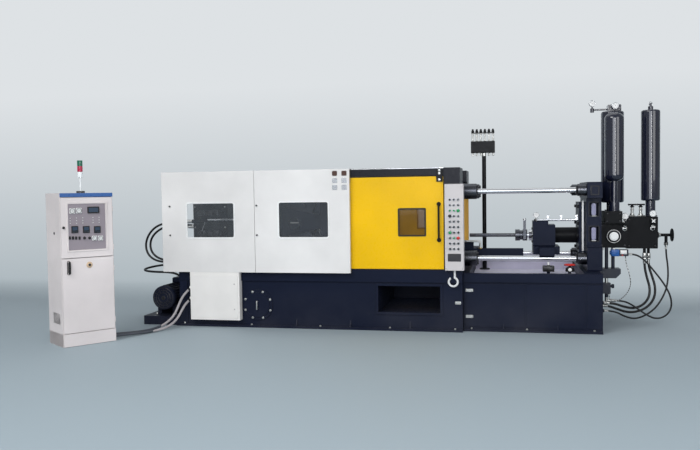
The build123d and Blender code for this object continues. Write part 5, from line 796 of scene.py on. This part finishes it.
for x, y, z in ((2.506, -0.205, 1.08), (2.795, -0.177, 1.092)):
    for way in (Vector((1, 0, 1)).normalized(), Vector((-1, 0, 1)).normalized()):
        whites.append((rod, Vector((x, y, z)) - way * 0.021, way, 0.0062, 0.042, 10, 0.001))
    whites.append((slab, (x - 0.022, y - 0.004, z - 0.068), (x + 0.016, y + 0.012, z - 0.057), 0.002))
build("valve_white_fittings", "white_rim", *whites)
build("bottle_lifting_ring", "plain_steel", (hoop, (2.793, 0, 2.322), FRONT, 0.018, 0.0028, 30, 8))
build("valve_block_pipe", "white_rim", (bent_pipe, (
    (2.312, -0.12, 0.802), (2.286, -0.12, 0.79), (2.262, -0.12, 0.765), (2.256, -0.12, 0.735),
    (2.256, -0.12, 0.592)), 0.008))
build("valve_block_screws", "blacked_screws",
      *[(cap_screw, place, FRONT, 0.006) for place in around((2.403, -0.176, 0.934), FRONT, 0.06, 8, 0.39)],
      *[(cap_screw, (x, y, z), FRONT, radius) for xs, y, zs, radius in (
          ((2.285, 2.515), -0.15, (0.838, 1.046), 0.0085), ((2.33, 2.456), -0.245, (1.096, 1.176), 0.0075),
          ((2.565, 2.825), -0.1, (0.828, 1.108), 0.0085)) for x in xs for z in zs],
      *[(cap_screw, place, UP, 0.008) for place in around((2.418, 0.06, 1.198), UP, 0.078, 6, 0.5)],
      *[(cap_screw, place, UP, 0.008) for place in around((2.793, 0, 1.135), UP, 0.066, 6, 0.2)])

# Stop valve grips: a turned cap with a ball on each side
grips = []
for x in STOP_VALVE_X:
    grips.append((lathe, (x, -0.055, 1.236), UP, [
        (0, 0), (0.024, 0), (0.026, 0.004), (0.012, 0.012), (0.012, 0.02)], 24))
    grips += [(ball, (x + reach, -0.055, 1.262), 0.0105) for reach in (0.033, -0.033)]
build("stop_valve_grips", "blacked_screws", *grips)

# Solenoid valve: a blue coil with its cap, a white connector and a red button
build("solenoid_coil", "blue_plastic", (slab, (2.376, -0.1925, 0.7245), (2.458, -0.1175, 0.7965), 0.006),
      (rod, (2.376, -0.155, 0.7605), LEFT, 0.022, 0.012, 24, 0.003))
build("solenoid_connector", "white_rim", (slab, (2.466, -0.1945, 0.748), (2.53, -0.1885, 0.789), 0.002),
      (slab, (2.47, -0.202, 0.754), (2.518, -0.194, 0.783), 0.004),
      (nut, (2.405, -0.16, 0.7945), UP, 0.012, 0.0165, 0.001))
build("solenoid_red_button", "red_plastic",
      (lathe, (2.486, -0.19, 0.736), FRONT, [(0.008, 0), (0.008, 0.007), (0.006, 0.009), (0, 0.009)], 20))

# Injection frame: a framed plain field, slot borders, pads, and white strips along edges that are painted highlights
FRAME_X = 2.187
SLOTS = ((0.9, 1.042), (1.156, 1.29))
build("frame_raised_borders", "frame_paint",
      (plate_on, (FRAME_X, -0.428, 1.418), RIGHT, 0.088, 0.098, 0.01, 0.003, 0.012),
      *[(plate_on, (FRAME_X, -0.33, (z0 + z1) / 2), RIGHT, 0.112, z1 - z0 + 0.024, 0.014, 0.003, 0.011)
        for z0, z1 in SLOTS], slot="frame_paint")
build("frame_slot_pads", "lilac_insert", *[
    (plate_on, (FRAME_X, -0.26, (z0 + z1) / 2), RIGHT, 0.044, z1 - z0 - 0.008, 0.016, 0.052) for z0, z1 in SLOTS])
# White rods under the slots and a white strip up the frame's edge: painted highlights on the dark casting
build("frame_painted_highlights", "white_rim",
      *[(rod, (2.166, -0.3325, z0 - 0.002), RIGHT, 0.0035, 0.042, 10, 0.001) for z0, z1 in SLOTS],
      (slab, (2.079, -0.206, 0.78), (2.1, -0.2, 1.31), 0.002))

# Oil tray: a pale sheet on the tray's floor and rear wall, a painted sheen made lighter against the tray's shade, and
# two valves
WHEEL_CENTRE = Vector((1.928, -0.56, 0.668))
build("tray_painted_sheen", "tray_sheen_paint", (slab, (0.935, -0.672, 0.4965), (2.054, 0.672, 0.4995), 0.001, 1),
      (slab, (0.935, 0.674, 0.4965), (2.054, 0.678, 0.59), 0.001, 1))
build("tray_valve_wheel", "red_plastic", (hoop, WHEEL_CENTRE, UP, 0.05, 0.0075, 36, 8),
      *[(rod, place - (place - WHEEL_CENTRE) * 0.7, place - WHEEL_CENTRE, 0.005, 0.038, 8)
        for place in around(WHEEL_CENTRE, UP, 0.03, 4)],
      (lathe, (1.928, -0.56, 0.66), UP, [(0.013, 0), (0.013, 0.012), (0.009, 0.016), (0, 0.016)], 20))
build("tray_valve_bodies", "black_plastic",
      (lathe, (1.928, -0.56, 0.6), UP, [(0, 0), (0.04, 0), (0.043, 0.004), (0.043, 0.032), (0.03, 0.042),
                                        (0.016, 0.05), (0, 0.052)], 24),
      (slab, (1.664, -0.55, 0.594), (1.78, -0.452, 0.652), 0.006),
      (lathe, (1.722, -0.5, 0.65), UP, [(0.02, 0), (0.02, 0.006), (0.012, 0.01)], 20))
build("tray_valve_stems", "white_rim", (rod, (1.722, -0.5, 0.655), UP, 0.0105, 0.034, 16, 0.001),
      (lathe, (1.928, -0.6015, 0.622), FRONT, [(0.018, 0), (0.018, 0.004), (0.012, 0.008), (0, 0.009)], 20))

# Lubricating pipe from the fixed platen down to the guide bar
build("platen_pipe", "zinc_fasteners", (bent_pipe, (
    (0.81, -0.3, 0.892), (1.010, -0.3, 0.892), (1.022, -0.3, 0.887), (1.026, -0.3, 0.876),
    (1.026, -0.3, 0.8095)), 0.011))
build("platen_pipe_nuts", "brass_fittings", (nut, (0.81, -0.3, 0.892), RIGHT, 0.02, 0.016),
      (nut, (1.026, -0.3, 0.81), UP, 0.02, 0.014))

# Distributor: a dark rail across the feed tubes' tops, a knob and two nuts on each
FEED_X = [0.9145 + 0.047 * i for i in range(6)]
build("distributor_rail", "blacked_screws", (slab, (0.898, 0.588, 2.1085), (1.166, 0.612, 2.1195), 0.002),
      *[(lathe, (x, 0.6, 2.142), UP, [(0.007, 0), (0.012, 0.004), (0.012, 0.014), (0.008, 0.018), (0, 0.019)], 18)
        for x in FEED_X])
build("distributor_nuts", "zinc_fasteners", *[
    (nut, (x, 0.6, z), UP, 0.0165, 0.01, 0.001) for x in FEED_X for z in (2.0145, 2.098)])

# Motor: fan cowl with a ring of vents, terminal box lid and foot bolts
FAN_CENTRE = Vector((-2.45, -0.709, 0.285))
build("motor_cowl", "base_paint", (lathe, (-2.45, -0.7, 0.285), FRONT, [
    (0.127, -0.046), (0.1345, -0.044), (0.1345, -0.008), (0.128, 0.002), (0.098, 0.008), (0.05, 0.01),
    (0, 0.01)], 48), slot="base_paint")
build("motor_cowl_guard", "blacked_screws",
      *[(hoop, (-2.45, y, 0.285), FRONT, radius, 0.0035, 44, 6)
        for y, radius in ((-0.705, 0.112), (-0.7095, 0.084), (-0.7095, 0.056))],
      *[(rod, place - (place - FAN_CENTRE) * 0.33, place - FAN_CENTRE, 0.0025, 0.056, 8)
        for place in around(FAN_CENTRE, FRONT, 0.084, 12)],
      (lathe, (-2.45, -0.7085, 0.285), FRONT, [(0.024, 0), (0.024, 0.004), (0.018, 0.006), (0, 0.006)]))
build("terminal_box_lid", "base_paint", (slab, (-2.508, -0.336, 0.4645), (-2.392, -0.204, 0.4725), 0.002),
      slot="base_paint")
build("motor_bolts", "zinc_fasteners",
      *[(cap_screw, (x, y, 0.4725), UP, 0.004) for x in (-2.504, -2.396) for y in (-0.328, -0.212)],
      *[(hex_head, (x, y, 0.095), UP, 0.018, 0.011) for x in (-2.568, -2.332) for y in (-0.64, -0.52, -0.3, -0.2)],
      *[(hex_head, place, REAR, 0.015, 0.009) for place in around((-2.45, -0.134, 0.285), REAR, 0.118, 8, 0.3)])

# Clamp valve block: solenoid valves on its face, block screws and a braided line
coils, bodies = [], []
for z in (1.225, 0.99, 0.8):
    coils += [(slab, (x, -0.492, z - 0.032), (x + 0.08, -0.43, z + 0.032), 0.006) for x in (-2.11, -1.95)]
    bodies.append((slab, (-2.03, -0.486, z - 0.026), (-1.95, -0.43, z + 0.026), 0.003))
    bodies += [(rod, (x, -0.461, z), RIGHT, 0.016, 0.012, 20, 0.002) for x in (-2.122, -1.858)]
build("clamp_solenoid_coils", "black_plastic", *coils)
build("clamp_solenoid_bodies", "blacked_screws", *bodies)
build("clamp_block_screws", "zinc_fasteners",
      *[(cap_screw, (x, -0.43, z), FRONT, 0.009) for x in (-2.17, -1.81) for z in (0.68, 0.9, 1.06, 1.29)],
      *[(nut, (-2.1965, y, z), LEFT, 0.026, 0.014) for y, z in (
          (-0.24, 1.075), (-0.345, 1.06), (-0.345, 0.69), (-0.24, 0.672), (-0.19, 0.634))])
build("clamp_braided_line", "plain_steel",
      (lathe, (-1.998, -0.4855, 1.146), RIGHT, [(0.006, 0)] + [
          (0.0125 if step % 2 else 0.0105, 0.004 + 0.004 * step) for step in range(41)] + [(0.006, 0.17)], 16),
      *[(nut, (x, -0.4855, 1.146), RIGHT, 0.017, 0.018) for x in (-1.822, -1.782)],
      (rod, (-1.83, -0.4855, 1.146), RIGHT, 0.008, 0.1, 14),
      (rod, (-1.745, -0.4855, 1.146), RIGHT, 0.012, 0.06, 18, 0.002),
      (bent_pipe, ((-2.03, -0.484, 1.12), (-2.075, -0.484, 1.0), (-2.082, -0.484, 0.93)), 0.0045))


def hook_curl(bm, centre):
    """The open curl of a hook, with a round tip."""
    end = centre + Vector((0.016, 0, 0.0421))
    wire = bmesh.ops.create_circle(bm, cap_ends=False, radius=0.011, segments=16,
                                   matrix=at(end, Vector(FRONT).cross(end - centre)))["verts"]
    bmesh.ops.spin(bm, geom=wire + list({e for v in wire for e in v.link_edges}), cent=centre, axis=Vector(REAR),
                   dvec=(0, 0, 0), angle=math.radians(306), steps=44, use_merge=False, use_duplicate=False)
    bmesh.ops.holes_fill(bm, edges=bm.edges, sides=0)
    ball(bm, end, 0.0115, 3)


# Crosshead: a white bar on its face, a painted highlight; hook: the curl below its shank
build("crosshead_painted_highlight", "white_rim", (slab, (-1.158, -0.061, 1.084), (-1.052, -0.055, 1.097), 0.002),
      body="crosshead_slide")
build("hook_curl", "hook_paint", (hook_curl, Vector((0.775, -0.831, 0.514))), slot="hook_paint")

# Control cabinet: blue strip, instruments, plinth panels, lock, handle and louvre
CABINET_CORNER = Vector((-2.795, -2.109, 0))
CABINET_ACROSS = Vector((0.601815, 0.798636, 0))
CABINET_OUT = Vector((0.798636, -0.601815, 0))
UPPER_DOOR, LOWER_DOOR = "cabinet_upper_hinged_door", "cabinet_lower_hinged_door"
ON_DOOR, ON_SHEET, ON_SWITCH = 0.020, 0.022, 0.032


def on_cabinet(along, height, out=ON_DOOR):
    """A point on the front of the cabinet, along its width, out from the body's front."""
    return CABINET_CORNER + CABINET_ACROSS * along + CABINET_OUT * out + Vector((0, 0, height))


def front_plate(bm, along, height, width, tall, radius, thickness, out=ON_DOOR, hole=None):
    plate_on(bm, on_cabinet(along, height, out), CABINET_ACROSS, width, tall, radius, thickness, hole, 3)


def turned(along, height, out, outline, sides):
    """The step for a turned form on the front of the cabinet."""
    return lathe, on_cabinet(along, height, out), CABINET_OUT, outline, sides


build("cabinet_blue_strip", "blue_trim", (front_plate, 0.258, 1.4425, 0.508, 0.037, 0.001, 0.019, 0.0))
build("cabinet_plinth_panels", "cabinet_paint", (front_plate, 0.258, 0.064, 0.51, 0.122, 0.001, 0.018, 0.0),
      (plate_on, CABINET_CORNER - CABINET_OUT * 0.18 + Vector((0, 0, 0.064)), -CABINET_OUT, 0.36, 0.122, 0.001,
       0.002, None, 1), slot="cabinet_paint")
build("meter_panel_sheet", "meter_panel", (front_plate, 0.249, 1.1385, 0.366, 0.437, 0.004, 0.002), body=UPPER_DOOR)
build("meter_panel_edge", "cabinet_paint", (front_plate, 0.249, 1.1385, 0.386, 0.457, 0.008, 0.0035, ON_DOOR, 0.009),
      body=UPPER_DOOR, slot="cabinet_paint")
frames, screens, faces, marks, switches = [], [], [], [], []
for along, height, size in ((0.11, 1.292, 0.052), (0.173, 1.294, 0.052), (0.318, 1.026, 0.046), (0.378, 1.023, 0.046)):
    frames.append((front_plate, along, height, size, size, 0.004, 0.009, ON_SHEET))
    switches.append(turned(along, height, 0.031, [(size * 0.46, 0), (size * 0.46, 0.002), (size * 0.41, 0.003),
                                                  (size * 0.41, 0)], 28))
    for shapes, maker in ((faces, dial_face), (marks, dial_marks)):
        shapes.append((maker, on_cabinet(along, height, 0.031), CABINET_OUT, size * 0.4))
switches.append((front_plate, 0.3145, 1.2975, 0.113, 0.063, 0.003, 0.01, ON_SHEET))
screens.append((front_plate, 0.3145, 1.2975, 0.093, 0.043, 0.002, 0.001, ON_SWITCH))
for along, height in ((0.13, 1.116), (0.24, 1.112), (0.348, 1.107)):
    switches.append((front_plate, along, height, 0.062, 0.066, 0.003, 0.01, ON_SHEET))
    screens.append((front_plate, along, height + 0.008, 0.048, 0.034, 0.002, 0.001, ON_SWITCH))
    screens += [turned(along - 0.0195 + 0.013 * step, height - 0.022, ON_SWITCH,
                       [(0.004, 0), (0.004, 0.001), (0, 0.0012)], 12) for step in range(4)]
for along, height in ((0.081, 1.038), (0.111, 1.037), (0.141, 1.035), (0.173, 1.033)):
    switches += [(front_plate, along, height, 0.018, 0.03, 0.003, 0.006, ON_SHEET),
                 (front_plate, along, height + 0.004, 0.009, 0.012, 0.002, 0.006, 0.028)]
switches += [turned(along, height, ON_SHEET, [(0.014, 0), (0.014, 0.003), (0.0105, 0.005), (0.0095, 0.017),
                                              (0.008, 0.018), (0, 0.018)], 24)
             for along, height in ((0.222, 1.031), (0.271, 1.029))]
frames += [turned(along, height, ON_SHEET, [(0.004, 0), (0.004, 0.002), (0.003, 0.0032), (0, 0.0036)], 14)
           for along in (0.09, 0.15, 0.21, 0.31, 0.37) for height in (1.225, 1.2, 1.175)]
for name, finish, shapes in (("meter_frames", "white_rim", frames), ("meter_screens", "screen_blue", screens),
                             ("meter_dials", "dial_white", faces), ("meter_marks", "blacked_screws", marks),
                             ("meter_switches", "black_plastic", switches)):
    build(name, finish, *shapes, body=UPPER_DOOR)
build("upper_door_latch", "black_plastic",
      turned(0.026, 1.136, 0.028, [(0.0125, -0.008), (0.0125, 0.001), (0.009, 0.003), (0, 0.003)], 24),
      body=UPPER_DOOR)
build("lock_rose", "lock_beige",
      turned(0.264, 0.771, ON_DOOR, [(0.03, 0), (0.03, 0.003), (0.024, 0.006), (0.0125, 0.006)], 32),
      body=LOWER_DOOR)
build("lock_barrel", "blacked_screws",
      turned(0.264, 0.771, 0.0275, [(0.0125, 0), (0.0125, 0.003), (0.009, 0.005), (0, 0.005)], 24),
      (front_plate, 0.264, 0.771, 0.005, 0.016, 0.002, 0.004, ON_SWITCH), body=LOWER_DOOR)
build("cabinet_handle_black", "black_plastic", (front_plate, 0.064, 0.755, 0.03, 0.135, 0.014, 0.006),
      (front_plate, 0.064, 0.755, 0.022, 0.122, 0.01, 0.006, 0.0415), body=LOWER_DOOR)
side_place = CABINET_CORNER - CABINET_OUT * 0.152
louvre_base = side_place - CABINET_ACROSS * 0.0015 + CABINET_OUT * 0.078
build("cabinet_louvre", "louvre_grey",
      (plate_on, side_place + Vector((0, 0, 0.265)), -CABINET_OUT, 0.178, 0.104, 0.003, 0.0015, None, 2),
      *[(rod, louvre_base + Vector((0, 0, 0.221 + 0.011 * step)), -CABINET_OUT, 0.0028, 0.156, 10)
        for step in range(9)])
build("cabinet_side_plug", "black_plastic", (lathe, side_place + Vector((0, 0, 1.08)), -CABINET_ACROSS, [
    (0.013, 0), (0.013, 0.003), (0.009, 0.005), (0, 0.005)], 20))

# Colour view: the plain view transform
bpy.context.scene.view_settings.view_transform = "Standard"
